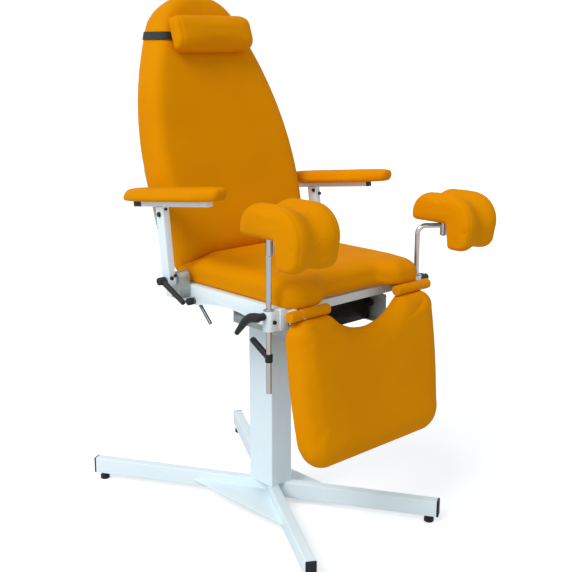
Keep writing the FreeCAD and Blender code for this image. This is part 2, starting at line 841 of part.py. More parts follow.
def armrests():
    half_x, half_y = "Sizes.post_width / 2", "Sizes.post_depth / 2"
    bar_half, wall = "Sizes.bar_width / 2", "Sizes.bar_wall"
    for side, sign in SIDES:
        bar_low = f"Sizes.{side}_post_length"
        bar_front, bar_rear = f"Sizes.{side}_bar_front", f"Sizes.{side}_bar_rear"
        bar_high = f"{bar_low} + Sizes.bar_depth"
        section = rectangle((f"-{half_x}", half_x), (f"-{half_y}", half_y))
        post = plate(f"{side}_post", "XY_Plane", bar_low, section, (), "Sizes.tube_corner")
        eye = bar(f"{side}_post_eye", ALONG_X, half_y, "Sizes.post_width", f"-{half_x}")
        length, breadth = f"{bar_front} + {bar_rear}", (f"-{bar_half}", bar_half)
        tube = box_tube(f"{side}_bar_tube", "XZ_Plane", length, breadth, (bar_low, bar_high), wall)
        move(tube, "0", bar_rear)
        bore = bar(
            f"{side}_post_bore",
            ALONG_X,
            "Sizes.pivot_radius + Sizes.running_clearance",
            "Sizes.post_width",
            f"-{half_x}",
        )
        weldment = carved(f"{side}_arm_weldment", joined(f"{side}_arm_tubes", post, eye, tube), bore)
        node(lean_armrest(weldment, side, sign), f"{side}_armrest_frame")

        caps = [
            block(
                f"{side}_bar_{end}_cap",
                (f"-{bar_half}", bar_half),
                pair,
                (bar_low, bar_high),
            )
            for end, pair in {
                "front": (f"-{bar_front} - Sizes.bar_cap", f"-{bar_front}"),
                "rear": (bar_rear, f"{bar_rear} + Sizes.bar_cap"),
            }.items()
        ]
        head = sideways(sign, half_x, f"{half_x} + Sizes.bolt_head")[0]
        caps.append(
            bar(
                f"{side}_post_bolt",
                ALONG_X,
                "Sizes.bolt_radius",
                "Sizes.bolt_head",
                head,
                "0",
                f"{bar_low} - Sizes.bolt_down",
            )
        )
        node(lean_armrest(group(f"{side}_arm_caps", *caps), side, sign), f"{side}_armrest_caps")

        wide = number("Sizes.armpad_half")
        front, rear = (number(f"Sizes.{side}_armpad_{end}") for end in ("front", "rear"))
        nose, taper = wide * 0.5, wide * 1.6
        outline = [
            (-nose, rear, nose * 0.8),
            (-wide, rear - taper, wide * 1.6),
            (-wide, taper - front, wide * 1.6),
            (-nose, -front, nose * 0.8),
            (nose, -front, nose * 0.8),
            (wide, taper - front, wide * 1.6),
            (wide, rear - taper, wide * 1.6),
            (nose, rear, nose * 0.8),
        ]
        pad = cushion(outline, number(bar_high), number("Sizes.armpad_depth"), SLIM_CROWN)
        axis = (f"Sizes.{side}_armrest_axis", "Places.armrest_axis_z")
        at = (f"{sign} * Places.armrest_out", *axis, "Sizes.armrest_lean")
        node(feature(f"{side}_arm_pad", pad, ALONG_Z, *at), f"{side}_armrest_pad")

        depth = "Sizes.bracket_depth / 2"
        arm = block(
            f"{side}_bracket_block",
            sideways(sign, "Places.rail_outer", "Places.bracket_end"),
            (f"{axis[0]} - {depth}", f"{axis[0]} + {depth}"),
            ("Sizes.frame_top - Sizes.bracket_drop", axis[1]),
        )
        end, collar_end = "Places.bracket_end", "Places.post_inner - Sizes.soft_clearance"
        lever_in, lever_out = "Places.armlever_in", "Places.armlever_out"
        round_top = cross_bar(f"{side}_bracket_round", sign, depth, "Places.rail_outer", end, *axis)
        collar = cross_bar(f"{side}_bracket_collar", sign, "Sizes.collar_radius", end, collar_end, *axis)
        pivot = cross_bar(f"{side}_bracket_pivot", sign, "Sizes.pivot_radius", end, lever_out, *axis)
        node(joined(f"{side}_bracket", arm, round_top, collar, pivot), f"{side}_armrest_bracket")

        hub = cross_bar(f"{side}_armlever_hub", sign, "Sizes.armlever_hub", lever_in, lever_out, *axis)
        handle = doc.addObject("Part::Cylinder", f"{side}_armlever_handle")
        handle.setExpression("Radius", "Sizes.armlever_radius")
        handle.setExpression("Height", "Sizes.armlever_length")
        middle = f"{sign} * (Places.armlever_in + Sizes.armlever_width / 2)"
        turn(handle, AXIS_X, "90 + Sizes.armlever_fall", middle, *axis)
        bore = "Sizes.pivot_radius + Sizes.running_clearance"
        hole = cross_bar(f"{side}_armlever_bore", sign, bore, lever_in, lever_out, *axis)
        lever = carved(f"{side}_armlever", joined(f"{side}_armlever_body", hub, handle), hole)
        node(lever, f"{side}_armrest_lever")


def leg_rest():
    ear_y, ear_z = "Places.leg_ear_y", "Places.leg_ear_z"
    rear = "Places.leg_rear"
    far = "Places.leg_rear + Sizes.arm_depth"
    boss = "Sizes.lug_radius"
    corners = [
        (f"2 - {boss}", f"{boss} - 10"),
        (f"9 - {boss}", f"{boss} - 1.5"),
        (f"{boss} - 9", f"{boss} - 1.5"),
        (f"{boss} - 2", f"{boss} - 9"),
        (f"{ear_y} + Places.ear", f"{ear_z} + Places.ear"),
        (f"{ear_y} + Places.ear", f"{ear_z} - Places.ear"),
        (far, f"{ear_z} - Places.ear * 2"),
        (far, "-Sizes.leg_arm_length"),
        (rear, "-Sizes.leg_arm_length"),
        (rear, f"-{boss} - 2"),
        (f"2 - {boss}", f"2 - {boss}"),
    ]
    arms = []
    for side, sign in SIDES:
        start, arm = hinge_arm(f"{side}_leg_arm", sign, ear_y, ear_z, corners)
        arms.append(move(arm, start))
    node(lean_leg(group("leg_arms", *arms)), "legrest_arms")
    up = ("-Sizes.leg_bar_drop - Sizes.bar_height", "-Sizes.leg_bar_drop")
    cross = block("leg_bar", ("-Places.arm_inner", "Places.arm_inner"), (rear, far), up)
    node(lean_leg(group("leg_bars", cross)), "legrest_cross_bar")

    half, foot_half = number("Sizes.leg_half"), number("Sizes.leg_bottom_half")
    top, bottom = -number("Sizes.leg_top"), -number("Sizes.leg_bottom")
    mouth, depth = number("Sizes.mouth_half"), number("Sizes.mouth_depth")
    outline = [
        (-half, top, 40),
        (-foot_half, bottom, 66),
        (foot_half, bottom, 66),
        (half, top, 40),
        (mouth, top, 20),
        (0, top - depth, mouth * 1.35),
        (-mouth, top, 20),
    ]
    at = ("0", "-Sizes.leg_axis", "Places.leg_axis_z", "Sizes.leg_lean")
    face, pad, thick = number("Sizes.leg_face"), number("Sizes.leg_pad"), number("Sizes.leg_board")
    soft = cushion(outline, face - pad, pad, PANEL_CROWN)
    node(feature("leg_cushion", soft, UPRIGHT, *at), "legrest_cushion")
    node(feature("leg_board", board(outline, face - pad - thick, thick, 6), UPRIGHT, *at), "legrest_board")

    rolls = []
    for side, sign in SIDES:
        roll = cross_bar(
            f"{side}_roll",
            sign,
            "Sizes.roll_radius",
            "Sizes.roll_inner",
            "Places.arm_inner",
            "-Sizes.leg_axis",
            "Places.leg_axis_z",
        )
        doc.recompute()
        soft = doc.addObject("Part::Fillet", f"{side}_soft_roll")
        soft.Base = roll
        edges = enumerate(roll.Shape.Edges, 1)
        rings = [place for place, edge in edges if isinstance(edge.Curve, Part.Circle)]
        soft.Edges = [(place, 5, 5) for place in rings]
        rolls.append(soft)
    node(group("leg_rolls", *rolls), "legrest_hinge_rolls")


def gas_spring(name, anchor_y, pin_y, pin_z, cylinder_length, rod_length):
    """A gas spring built along Z from its anchor eye, then turned towards its crank pin."""
    across, up = f"(({pin_y}) - ({anchor_y}))", f"(({pin_z}) - Places.anchor_z)"
    length = f"sqrt({across} ^ 2 + {up} ^ 2)"
    eye_half = "Sizes.spring_eye / 2"
    tube = bar(f"{name}_tube", ALONG_Z, "Sizes.spring_radius", cylinder_length)
    eye = bar(f"{name}_eye", ALONG_X, "Sizes.spring_radius", "Sizes.spring_eye", f"-{eye_half}")
    flats = [
        block(
            f"{name}_flat_{place}",
            pair,
            ("-Sizes.spring_radius", "Sizes.spring_radius"),
            ("-Sizes.spring_radius", "Sizes.spring_radius + 2"),
        )
        for place, pair in {
            "inner": (eye_half, "Sizes.spring_radius"),
            "outer": ("-Sizes.spring_radius", f"-{eye_half}"),
        }.items()
    ]
    rod_bore = "Sizes.spring_rod + Sizes.running_clearance"
    hollow = bar(f"{name}_hollow", ALONG_Z, rod_bore, cylinder_length, "0", "0", "Sizes.spring_radius + 4")
    hole = bar(f"{name}_hole", ALONG_X, rod_bore, "Sizes.spring_eye", f"-{eye_half}")
    cylinder = carved(f"{name}_cylinder", joined(f"{name}_body", tube, eye), hollow, hole, *flats)
    rod = bar(f"{name}_rod", ALONG_Z, "Sizes.spring_rod", rod_length, "0", "0", f"{length} - {rod_length}")
    at_end = (f"-{eye_half}", "0", length)
    rod_eye = bar(f"{name}_rod_eye", ALONG_X, "Sizes.spring_radius", "Sizes.spring_eye", *at_end)
    reach = "Places.arm_outer - Places.spring_offset"
    pin_length, at_arm = f"{reach} + {eye_half}", (f"-({reach})", "0", length)
    pin = bar(f"{name}_pin", ALONG_X, "Sizes.spring_rod", pin_length, *at_arm)
    for piece, part in ((cylinder, "cylinder"), (joined(f"{name}_plunger", rod, rod_eye, pin), "rod")):
        angle = f"atan2(-{across}; {up})"
        turn(piece, AXIS_X, angle, "-Places.spring_offset", anchor_y, "Places.anchor_z")
        node(piece, f"{name}_spring_{part}")


def gas_springs():
    gas_spring(
        "back",
        "-Sizes.back_anchor",
        "Places.back_pin_y",
        "Places.back_pin_z",
        "Sizes.back_cylinder",
        "Sizes.back_rod_length",
    )
    gas_spring(
        "leg",
        "-Sizes.leg_anchor",
        "Places.leg_pin_y",
        "Places.leg_pin_z",
        "Sizes.leg_cylinder",
        "Sizes.leg_rod_length",
    )
    edge = "Sizes.spring_radius + 3"
    inner = "Places.spring_offset - Sizes.spring_radius - Sizes.anchor_plate - 2"
    web = block(
        "anchor_web",
        sideways(-1, inner, f"{inner} + Sizes.anchor_plate"),
        (f"-Sizes.leg_anchor - {edge}", "Sizes.cross_width / 2 - Sizes.cross_middle"),
        (f"Places.anchor_z - {edge}", "Places.cross_low"),
    )
    far = "Places.spring_offset + Sizes.spring_eye / 2 + 2"
    pins = []
    for name in ("back", "leg"):
        at = (f"-Sizes.{name}_anchor", "Places.anchor_z")
        pins.append(cross_bar(f"{name}_anchor_pin", -1, "Sizes.spring_rod", inner, far, *at))
    node(joined("spring_bracket", web, *pins), "spring_bracket")


def release_shafts():
    return (
        ("back_release", "Sizes.back_release_forward", "Sizes.back_release_drop"),
        ("leg_release", "Sizes.leg_release_forward", "Sizes.leg_release_drop"),
    )


def release_levers():
    """Each lever is a bent steel rod on a short shaft through the right rail."""
    for name, forward, drop in release_shafts():
        y, z = f"-({forward})", f"Sizes.frame_top - {drop}"
        inner = "Places.release_out - Sizes.release_shaft - 4"
        shaft = cross_bar(f"{name}_shaft", -1, "Sizes.release_shaft", inner, "Places.rail_outer + 2", y, z)
        head = cross_bar(
            f"{name}_head",
            -1,
            "Sizes.release_head_radius",
            "Places.rail_outer + Sizes.soft_clearance",
            "Places.rail_outer + Sizes.release_head",
            y,
            z,
        )
        rod = doc.addObject("Part::Cylinder", f"{name}_rod")
        rod.setExpression("Radius", "Sizes.release_rod")
        rod.setExpression("Height", f"Sizes.{name}_length")
        angle = {
            "back_release": "90 + Sizes.back_release_angle",
            "leg_release": "-90 - Sizes.leg_release_angle",
        }
        turn(rod, AXIS_X, angle[name], "-Places.release_out", y, z)
        pieces = [shaft, rod, head] if name == "back_release" else [shaft, rod]
        node(joined(name, *pieces), f"{name}_lever")


def leg_holders():
    for side, sign in SIDES:
        x, y = f"{sign} * Places.holder_out", "-Sizes.holder_forward"
        low, tall = "Places.clamp_low", "Sizes.clamp_height"
        web = block(
            f"{side}_clamp_web",
            sideways(sign, "Places.rail_outer", "Places.holder_out"),
            (f"{y} - Sizes.clamp_radius", f"{y} + Sizes.clamp_radius"),
            (low, "Places.clamp_top"),
        )
        barrel = bar(f"{side}_clamp_barrel", ALONG_Z, "Sizes.clamp_radius", tall, x, y, low)
        bore = bar(
            f"{side}_clamp_bore",
            ALONG_Z,
            "Sizes.bush_radius + Sizes.running_clearance",
            tall,
            x,
            y,
            low,
        )
        screw_hole = cross_bar(
            f"{side}_clamp_screw_hole",
            sign,
            "Sizes.clampscrew_radius + Sizes.running_clearance",
            "Places.holder_out + Sizes.bush_radius",
            "Places.holder_out + Sizes.clamp_radius + 1",
            y,
            "Places.clamplever_z",
        )
        clamp = carved(f"{side}_clamp", joined(f"{side}_clamp_body", web, barrel), bore, screw_hole)
        node(clamp, f"{side}_holder_clamp")

        sleeve_length = f"{tall} + Sizes.soft_clearance"
        sleeve = bar(f"{side}_bush_sleeve", ALONG_Z, "Sizes.bush_radius", sleeve_length, x, y, low)
        lip = bar(
            f"{side}_bush_lip",
            ALONG_Z,
            "Sizes.clamp_radius - 1",
            "Sizes.bush_lip",
            x,
            y,
            "Places.clamp_top + Sizes.soft_clearance",
        )
        slide = bar(
            f"{side}_bush_bore",
            ALONG_Z,
            "Sizes.holder_radius + Sizes.running_clearance",
            f"{tall} + Sizes.bush_lip + 2",
            x,
            y,
            f"{low} - 1",
        )
        node(carved(f"{side}_bush", joined(f"{side}_bush_body", sleeve, lip), slide), f"{side}_holder_bush")

        height, way = f"Sizes.{side}_holder_height", f"{sign} * Sizes.{side}_holder_turn"
        bend, radius = "Sizes.holder_bend", "Sizes.holder_radius"
        upright = bar(
            f"{side}_holder_upright",
            ALONG_Z,
            radius,
            f"Sizes.holder_length - {bend}",
            "0",
            "0",
            f"{height} - Sizes.holder_length",
        )
        elbow = doc.addObject("Part::Torus", f"{side}_holder_elbow")
        elbow.Placement = FreeCAD.Placement(FreeCAD.Vector(), SIDEWAYS)
        elbow.setExpression("Radius1", bend)
        elbow.setExpression("Radius2", radius)
        elbow.Angle3 = 90
        move(elbow, "0", f"-{bend}", f"{height} - {bend}")
        run = bar(
            f"{side}_holder_run",
            ALONG_Y,
            radius,
            f"Sizes.holder_run - {bend}",
            "0",
            "-Sizes.holder_run",
            height,
        )
        boss_top = "Sizes.holder_seat - Sizes.mount_plate - Sizes.soft_clearance"
        boss = bar(
            f"{side}_holder_boss",
            ALONG_Z,
            "Sizes.boss_radius",
            f"Sizes.boss_below + {boss_top}",
            "0",
            "-Sizes.holder_run",
            f"{height} - Sizes.boss_below",
        )
        stem_bore = bar(
            f"{side}_holder_bore",
            ALONG_Z,
            "Sizes.stem_radius + Sizes.running_clearance",
            f"Sizes.boss_below + {boss_top}",
            "0",
            "-Sizes.holder_run",
            f"{height} - Sizes.boss_below",
        )
        tube = carved(f"{side}_holder", joined(f"{side}_holder_tube", upright, elbow, run, boss), stem_bore)
        node(turn(tube, AXIS_Z, way, x, y), f"{side}_holder_rod")

        grip_z = f"{height} - Sizes.grip_drop"
        ring = "Sizes.grip_collar"
        collar = bar(f"{side}_grip_collar", ALONG_Z, ring, f"{ring} * 2", x, y, f"{grip_z} - {ring}")
        handle = doc.addObject("Part::Cylinder", f"{side}_grip_handle")
        handle.setExpression("Radius", "Sizes.grip_radius")
        handle.setExpression("Height", "Sizes.grip_length")
        turn(handle, AXIS_X, "Sizes.grip_angle - 90", x, y, grip_z)
        span = "Sizes.grip_length"
        inside = bar(f"{side}_grip_bore", ALONG_Z, radius, f"{span} * 2", x, y, f"{grip_z} - {span}")
        grip = carved(f"{side}_grip", joined(f"{side}_grip_body", collar, handle), inside)
        node(grip, f"{side}_holder_grip")

        clamp_lever(side, sign, y)
        knee_pad(side, sign, height, way)


def clamp_lever(side, sign, y):
    z = "Places.clamplever_z"
    start, end = "Places.clamplever_in", "Places.clamplever_in + Sizes.clamplever_width"
    hub = cross_bar(f"{side}_clamplever_hub", sign, "Sizes.clamplever_hub", start, end, y, z)
    screw_start = "Places.holder_out + Sizes.bush_radius + 1"
    screw_radius = "Sizes.clampscrew_radius"
    screw = cross_bar(f"{side}_clamplever_screw", sign, screw_radius, screw_start, start, y, z)
    arm = doc.addObject("Part::Cone", f"{side}_clamplever_arm")
    arm.setExpression("Radius1", "Sizes.clamplever_root")
    arm.setExpression("Radius2", "Sizes.clamplever_tip")
    arm.setExpression("Height", "Sizes.clamplever_length")
    at = f"{sign} * ({end} - Sizes.clamplever_root)"
    turn(arm, AXIS_X, "-90 - Sizes.clamplever_fall", at, y, z)
    node(joined(f"{side}_clamplever", hub, screw, arm), f"{side}_clamp_lever")


def knee_outline(saddle):
    """The hook-shaped side of a knee pad about its inner corner; the saddle lowers its top and front."""
    rear, front = number("Sizes.knee_rear"), number("Sizes.knee_front")
    top, hang = number("Sizes.knee_top") - saddle, number("Sizes.knee_hang")
    return [
        (0, 0, number("Sizes.knee_corner")),
        (rear, 0, 10),
        (rear, top, top * 0.76),
        (saddle / 3 - front, top, top * 0.95),
        (saddle / 3 - front * 0.72, -hang, 30),
        (-9, -hang, 9),
    ]


def knee_pad(side, sign, height, way):
    half, saddle = number("Sizes.knee_half"), number("Sizes.knee_saddle")
    layers = []
    for share, drawn in across(KNEE_ENDS):
        dip = saddle * math.cos(share * math.pi / 2) ** 3
        layers.append(rounded(inset(knee_outline(dip), drawn), half * share))
    x = f"({sign} * (Places.holder_out - Sizes.knee_inboard) + Sizes.holder_run * sin({way}))"
    y = f"(-Sizes.holder_forward - Sizes.knee_ahead - Sizes.holder_run * cos({way}))"
    z = f"({height} + Sizes.holder_seat)"
    soft = Part.makeLoft(layers, True, False)
    node(feature(f"{side}_knee_cushion", soft, SIDEWAYS, x, y, z), f"{side}_knee_pad")

    shelf = block(
        f"{side}_mount_shelf",
        ("-Sizes.knee_half * 0.7", "Sizes.knee_half * 0.7"),
        ("Sizes.mount_gap", "Sizes.knee_rear - 18"),
        ("-Sizes.mount_plate", "0"),
    )
    apron = block(
        f"{side}_mount_apron",
        ("-Sizes.knee_half * 0.7", "Sizes.knee_half * 0.7"),
        ("Sizes.mount_gap", "Sizes.mount_gap + Sizes.mount_plate"),
        ("-Sizes.knee_hang + 8", "0"),
    )
    stem = bar(
        f"{side}_mount_stem",
        ALONG_Z,
        "Sizes.stem_radius",
        "Sizes.holder_seat + Sizes.boss_below + 3 - Sizes.mount_plate",
        f"{sign} * Sizes.knee_inboard",
        "Sizes.knee_ahead",
        "-Sizes.holder_seat - Sizes.boss_below - 3",
    )
    node(move(joined(f"{side}_mount", shelf, apron, stem), x, y, z), f"{side}_knee_pad_mount")


def drain_tray():
    half, wall = "Sizes.tray_half", "Sizes.tray_wall"
    y = ("-Sizes.tray_front", "-Sizes.tray_rear")
    outer = block("tray_outer", (f"-{half}", half), y, ("Places.tray_low", "Places.tray_top"))
    rim = block(
        "tray_rim_plate",
        (f"-{half} - Sizes.tray_rim", f"{half} + Sizes.tray_rim"),
        y,
        ("Places.rim_low", "Places.tray_top"),
    )
    inner = block(
        "tray_inner",
        (f"-{half} + {wall}", f"{half} - {wall}"),
        (f"{y[0]} + {wall}", f"{y[1]} - {wall}"),
        (f"Places.tray_low + {wall}", "Places.tray_top"),
    )
    knob = bar(
        "tray_knob",
        ALONG_Y,
        "Sizes.knob_radius",
        "Sizes.knob_length",
        f"{half} - Sizes.knob_radius",
        f"{y[0]} - Sizes.knob_length",
        "Places.tray_top - Sizes.knob_radius",
    )
    node(joined("tray", carved("tray_shell", joined("tray_blank", outer, rim), inner), knob), "drain_tray")

    runners = []
    length = ("-Sizes.runner_front", "-Sizes.cross_middle + Sizes.cross_width / 2")
    lip_top = "Places.tray_low - Sizes.soft_clearance"
    for side, sign in SIDES:
        web = block(
            f"{side}_runner_web",
            sideways(sign, "Places.runner_out", "Places.runner_out + Sizes.runner_thickness"),
            length,
            (f"{lip_top} - Sizes.runner_thickness", "Places.cross_low"),
        )
        lip = block(
            f"{side}_runner_lip",
            sideways(sign, "Sizes.tray_half - Sizes.runner_ledge", "Places.runner_out"),
            length,
            (f"{lip_top} - Sizes.runner_thickness", lip_top),
        )
        runners.append(joined(f"{side}_runner", web, lip))
    node(group("runners", *runners), "tray_runners")


def write_nodes():
    failed = [item.Name for item in doc.Objects if {"Invalid", "Error"} & set(item.State)]
    if failed:
        raise RuntimeError(f"not built: {failed}")
    for item in nodes:
        if item.Shape.isNull() or not item.Shape.isValid():
            raise RuntimeError(f"{item.Label} has no valid shape")
    os.makedirs("parts", exist_ok=True)
    for item in nodes:
        item.Shape.exportStep(f"parts/{item.Label}.step")
    print(len(nodes), "sub-parts written")


fill(sizes, {alias: str(size) for alias, size in SIZES.items()})
fill(places, {alias: f"={formula}" for alias, formula in PLACES.items()})
foot_cross()
levelling_feet()
column()
seat_frame()
seat()
backrest()
headrest()
armrests()
leg_rest()
gas_springs()
release_levers()
leg_holders()
drain_tray()
doc.recompute()
write_nodes()
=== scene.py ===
# %% [markdown]
# # A gynaecological examination chair
# The chair's solids come from its CAD model and stay where they are. This lesson dresses them: the
# steel keeps its solids and gets eased edges and real paint, the cushions are made again as soft,
# filled upholstery, and the small mouldings and the bolts are modelled where the photograph shows them.

# %% Load the frame
import json
import math

import bpy
from mathutils import Matrix, Vector


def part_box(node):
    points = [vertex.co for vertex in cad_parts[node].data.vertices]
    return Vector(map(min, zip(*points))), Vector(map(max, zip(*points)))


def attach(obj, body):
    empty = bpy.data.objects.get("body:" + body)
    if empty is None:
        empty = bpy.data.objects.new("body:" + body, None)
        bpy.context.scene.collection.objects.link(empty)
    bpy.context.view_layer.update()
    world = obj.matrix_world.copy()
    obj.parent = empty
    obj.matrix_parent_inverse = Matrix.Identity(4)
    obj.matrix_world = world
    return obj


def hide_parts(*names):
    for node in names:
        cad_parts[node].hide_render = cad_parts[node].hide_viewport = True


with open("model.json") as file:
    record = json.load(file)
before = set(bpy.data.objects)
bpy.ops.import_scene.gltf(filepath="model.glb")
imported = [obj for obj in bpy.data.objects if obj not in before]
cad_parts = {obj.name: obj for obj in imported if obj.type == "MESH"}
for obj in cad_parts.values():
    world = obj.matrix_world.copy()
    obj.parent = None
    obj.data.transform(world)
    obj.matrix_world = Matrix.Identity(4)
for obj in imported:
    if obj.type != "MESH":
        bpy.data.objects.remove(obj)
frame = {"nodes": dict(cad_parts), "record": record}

MM = 0.001
scene = bpy.context.scene
nodes = frame["nodes"]
bodies = frame["record"]["behaviour"]["bodies"]
body_of_node = {name: body for body, names in bodies.items() for name in names}
slot_of_node = {row["node"]: row["material_slot"] for row in frame["record"]["subparts"]}
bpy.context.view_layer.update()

# %% [markdown]
# ## The camera
# The photograph looks at the chair's right front from about head height. The lens and the place were
# solved from the straight edges of the foot, the column and the seat, so the render can be laid over
# the photograph.

# %% Place the camera
camera = bpy.data.objects.new("camera", bpy.data.cameras.new("camera"))
scene.collection.objects.link(camera)
camera.data.sensor_width = 36
camera.data.lens = 62.73
camera.data.clip_end = 100
camera.location = (-1.889, -2.093, 1.376)
aim = Vector((0.0343, -0.0320, 0.6771))
camera.rotation_euler = (aim - camera.location).to_track_quat("-Z", "Y").to_euler()
scene.camera = camera
scene.view_settings.view_transform = "Standard"
print("camera", tuple(camera.location))

# %% [markdown]
# ## Colours and nodes
# Colours are written as sRGB hex values, as a colour picker shows them, and Blender's sockets want
# linear light, so one function converts them. Another adds a shader node and fills or links its
# sockets. A pattern's scale is the number of its repeats per metre, so it is worked out from the size
# that the pattern has on the real material.


# %% Helpers for colours and nodes
def paint(hex_text):
    """The linear RGBA of an sRGB hex colour."""
    channels = [int(hex_text[place:place + 2], 16) / 255 for place in (1, 3, 5)]
    linear = [c / 12.92 if c <= 0.04045 else ((c + 0.055) / 1.055) ** 2.4 for c in channels]
    return (*linear, 1.0)


def per_metre(size_mm):
    """The texture scale that gives a pattern of a real size."""
    return 1 / (size_mm * MM)


def add_node(tree, kind, settings, inputs):
    """Adds a node with its settings; an input is a value or another node's output."""
    made = tree.nodes.new(kind)
    for name, setting in settings.items():
        setattr(made, name, setting)
    for name, source in inputs.items():
        if isinstance(source, bpy.types.NodeSocket):
            tree.links.new(source, made.inputs[name])
        else:
            made.inputs[name].default_value = source
    return made.outputs


def start_material(name, settings):
    """A new material: its node tree, its shader and the object coordinates that its patterns read."""
    material = bpy.data.materials.new(name)
    material.use_nodes = True
    tree = material.node_tree
    shader = tree.nodes["Principled BSDF"]
    for socket, setting in settings.items():
        shader.inputs[socket].default_value = setting
    place = add_node(tree, "ShaderNodeTexCoord", {}, {})["Object"]
    return material, tree, shader, place


NOISE, MIX, BUMP = "ShaderNodeTexNoise", "ShaderNodeMix", "ShaderNodeBump"
RANGE, MAPPING, MATH = "ShaderNodeMapRange", "ShaderNodeMapping", "ShaderNodeMath"
COLOUR = {"data_type": "RGBA"}
print("orange", paint("#E78E00"))

# %% [markdown]
# ## The room
# Plain soft studio light: an even white surround, and one large soft lamp from the upper left, which
# makes the chair's right sides bright and leaves its front faces about a third darker. The floor is
# pale and keeps a soft shadow, and the camera sees a plain white background, as a product photograph
# has it.

# %% Light
world = bpy.data.worlds.new("studio")
world.use_nodes = True
scene.world = world
sky = world.node_tree
surround = sky.nodes["Background"]
surround.inputs["Color"].default_value = paint("#F7FAFF")
surround.inputs["Strength"].default_value = 0.56
backdrop = add_node(sky, "ShaderNodeBackground", {}, {"Color": paint("#FFFFFF"), "Strength": 1.0})[0]
rays = add_node(sky, "ShaderNodeLightPath", {}, {})
either = {"operation": "MAXIMUM"}
looks = add_node(sky, MATH, either, {0: rays["Is Camera Ray"], 1: rays["Is Glossy Ray"]})[0]
seen = add_node(sky, MATH, either, {0: looks, 1: rays["Is Transmission Ray"]})[0]
mix = add_node(sky, "ShaderNodeMixShader", {}, {0: seen, 1: surround.outputs[0], 2: backdrop})[0]
sky.links.new(mix, sky.nodes["World Output"].inputs["Surface"])

lamp = bpy.data.objects.new("soft_lamp", bpy.data.lights.new("soft_lamp", "SUN"))
lamp.data.energy = 1.75
lamp.data.angle = math.radians(35)
lamp.rotation_euler = Vector((0.68, 0.08, -0.72)).to_track_quat("-Z", "Y").to_euler()
scene.collection.objects.link(lamp)
print("lamp", lamp.data.energy)

# %% Floor
bpy.ops.object.select_all(action="DESELECT")
bpy.ops.mesh.primitive_plane_add(size=60, location=(0, 0, 0))
floor = bpy.context.object
floor.name = "floor"
FLOOR_GLOW = 0.52
matt = {"Base Color": paint("#D8DADC"), "Roughness": 0.9}
floor_paint, tree, shader, _ = start_material("pale_floor", matt)
shader.inputs["Emission Color"].default_value = (1, 1, 1, 1)
rays = add_node(tree, "ShaderNodeLightPath", {}, {})
lift = add_node(tree, MATH, {"operation": "MULTIPLY"}, {0: rays["Is Camera Ray"], 1: FLOOR_GLOW})[0]
tree.links.new(lift, shader.inputs["Emission Strength"])
floor.data.materials.append(floor_paint)
print("floor", floor.name)

# %% [markdown]
# ## Orange coated cloth
# The cushions are covered with orange vinyl-coated cloth: PVC on a knitted back, embossed with a fine
# leather grain. It is matt to satin, so its colour stays full and the light falls off softly over the
# edges. The real grain is under a millimetre; here it is drawn near two millimetres, so that it still
# shows close up.

# %% Vinyl
vinyl, tree, shader, place = start_material("vinyl_coated_cloth", {"IOR": 1.5, "Specular IOR Level": 0.02})
stretch = add_node(tree, NOISE, {}, {"Vector": place, "Scale": per_metre(160), "Detail": 2})["Fac"]
tone = add_node(tree, MIX, COLOUR, {0: stretch, 6: paint("#DA8A00"), 7: paint("#EA9600")})[2]
tree.links.new(tone, shader.inputs["Base Color"])
wear = add_node(tree, NOISE, {}, {"Vector": place, "Scale": per_metre(28), "Detail": 3})["Fac"]
gloss = add_node(tree, RANGE, {}, {"Value": wear, "To Min": 0.5, "To Max": 0.74})["Result"]
tree.links.new(gloss, shader.inputs["Roughness"])
slack = add_node(tree, NOISE, {}, {"Vector": place, "Scale": per_metre(60), "Detail": 1})["Fac"]
soft = add_node(tree, BUMP, {}, {"Height": slack, "Distance": 1.2 * MM, "Strength": 0.12})["Normal"]
cells = {"Vector": place, "Scale": per_metre(2.2), "Smoothness": 0.6}
pebbles = add_node(tree, "ShaderNodeTexVoronoi", {"feature": "SMOOTH_F1"}, cells)["Distance"]
grain = {"Height": pebbles, "Distance": 0.35 * MM, "Strength": 0.22, "Normal": soft}
tree.links.new(add_node(tree, BUMP, {}, grain)["Normal"], shader.inputs["Normal"])
print(vinyl.name)

# %% [markdown]
# ## Powder-coated steel
# The foot, column, rails and armrests are mild steel under a pale blue-white powder coat. The powder
# melts and flows in an oven, which leaves a slight orange peel, here drawn coarser than its half
# millimetre, and an even satin gloss.

# %% Powder coat
coat = {"IOR": 1.5, "Specular IOR Level": 0.35}
powder, tree, shader, place = start_material("powder_coated_steel", coat)
dust = add_node(tree, NOISE, {}, {"Vector": place, "Scale": per_metre(220), "Detail": 4})["Fac"]
tone = add_node(tree, MIX, COLOUR, {0: dust, 6: paint("#E2F3FA"), 7: paint("#EFFCFF")})[2]
tree.links.new(tone, shader.inputs["Base Color"])
wear = add_node(tree, NOISE, {}, {"Vector": place, "Scale": per_metre(35), "Detail": 4})["Fac"]
gloss = add_node(tree, RANGE, {}, {"Value": wear, "To Min": 0.28, "To Max": 0.52})["Result"]
tree.links.new(gloss, shader.inputs["Roughness"])
peel = add_node(tree, NOISE, {}, {"Vector": place, "Scale": per_metre(2.4), "Detail": 1})["Fac"]
skin = add_node(tree, BUMP, {}, {"Height": peel, "Distance": 0.12 * MM, "Strength": 0.25})["Normal"]
tree.links.new(skin, shader.inputs["Normal"])
print(powder.name)

# %% [markdown]
# ## Zinc-plated steel
# Brackets, hinge arms and runners are zinc-plated: a dull grey with a faint crystal figure and a broad
# soft highlight.

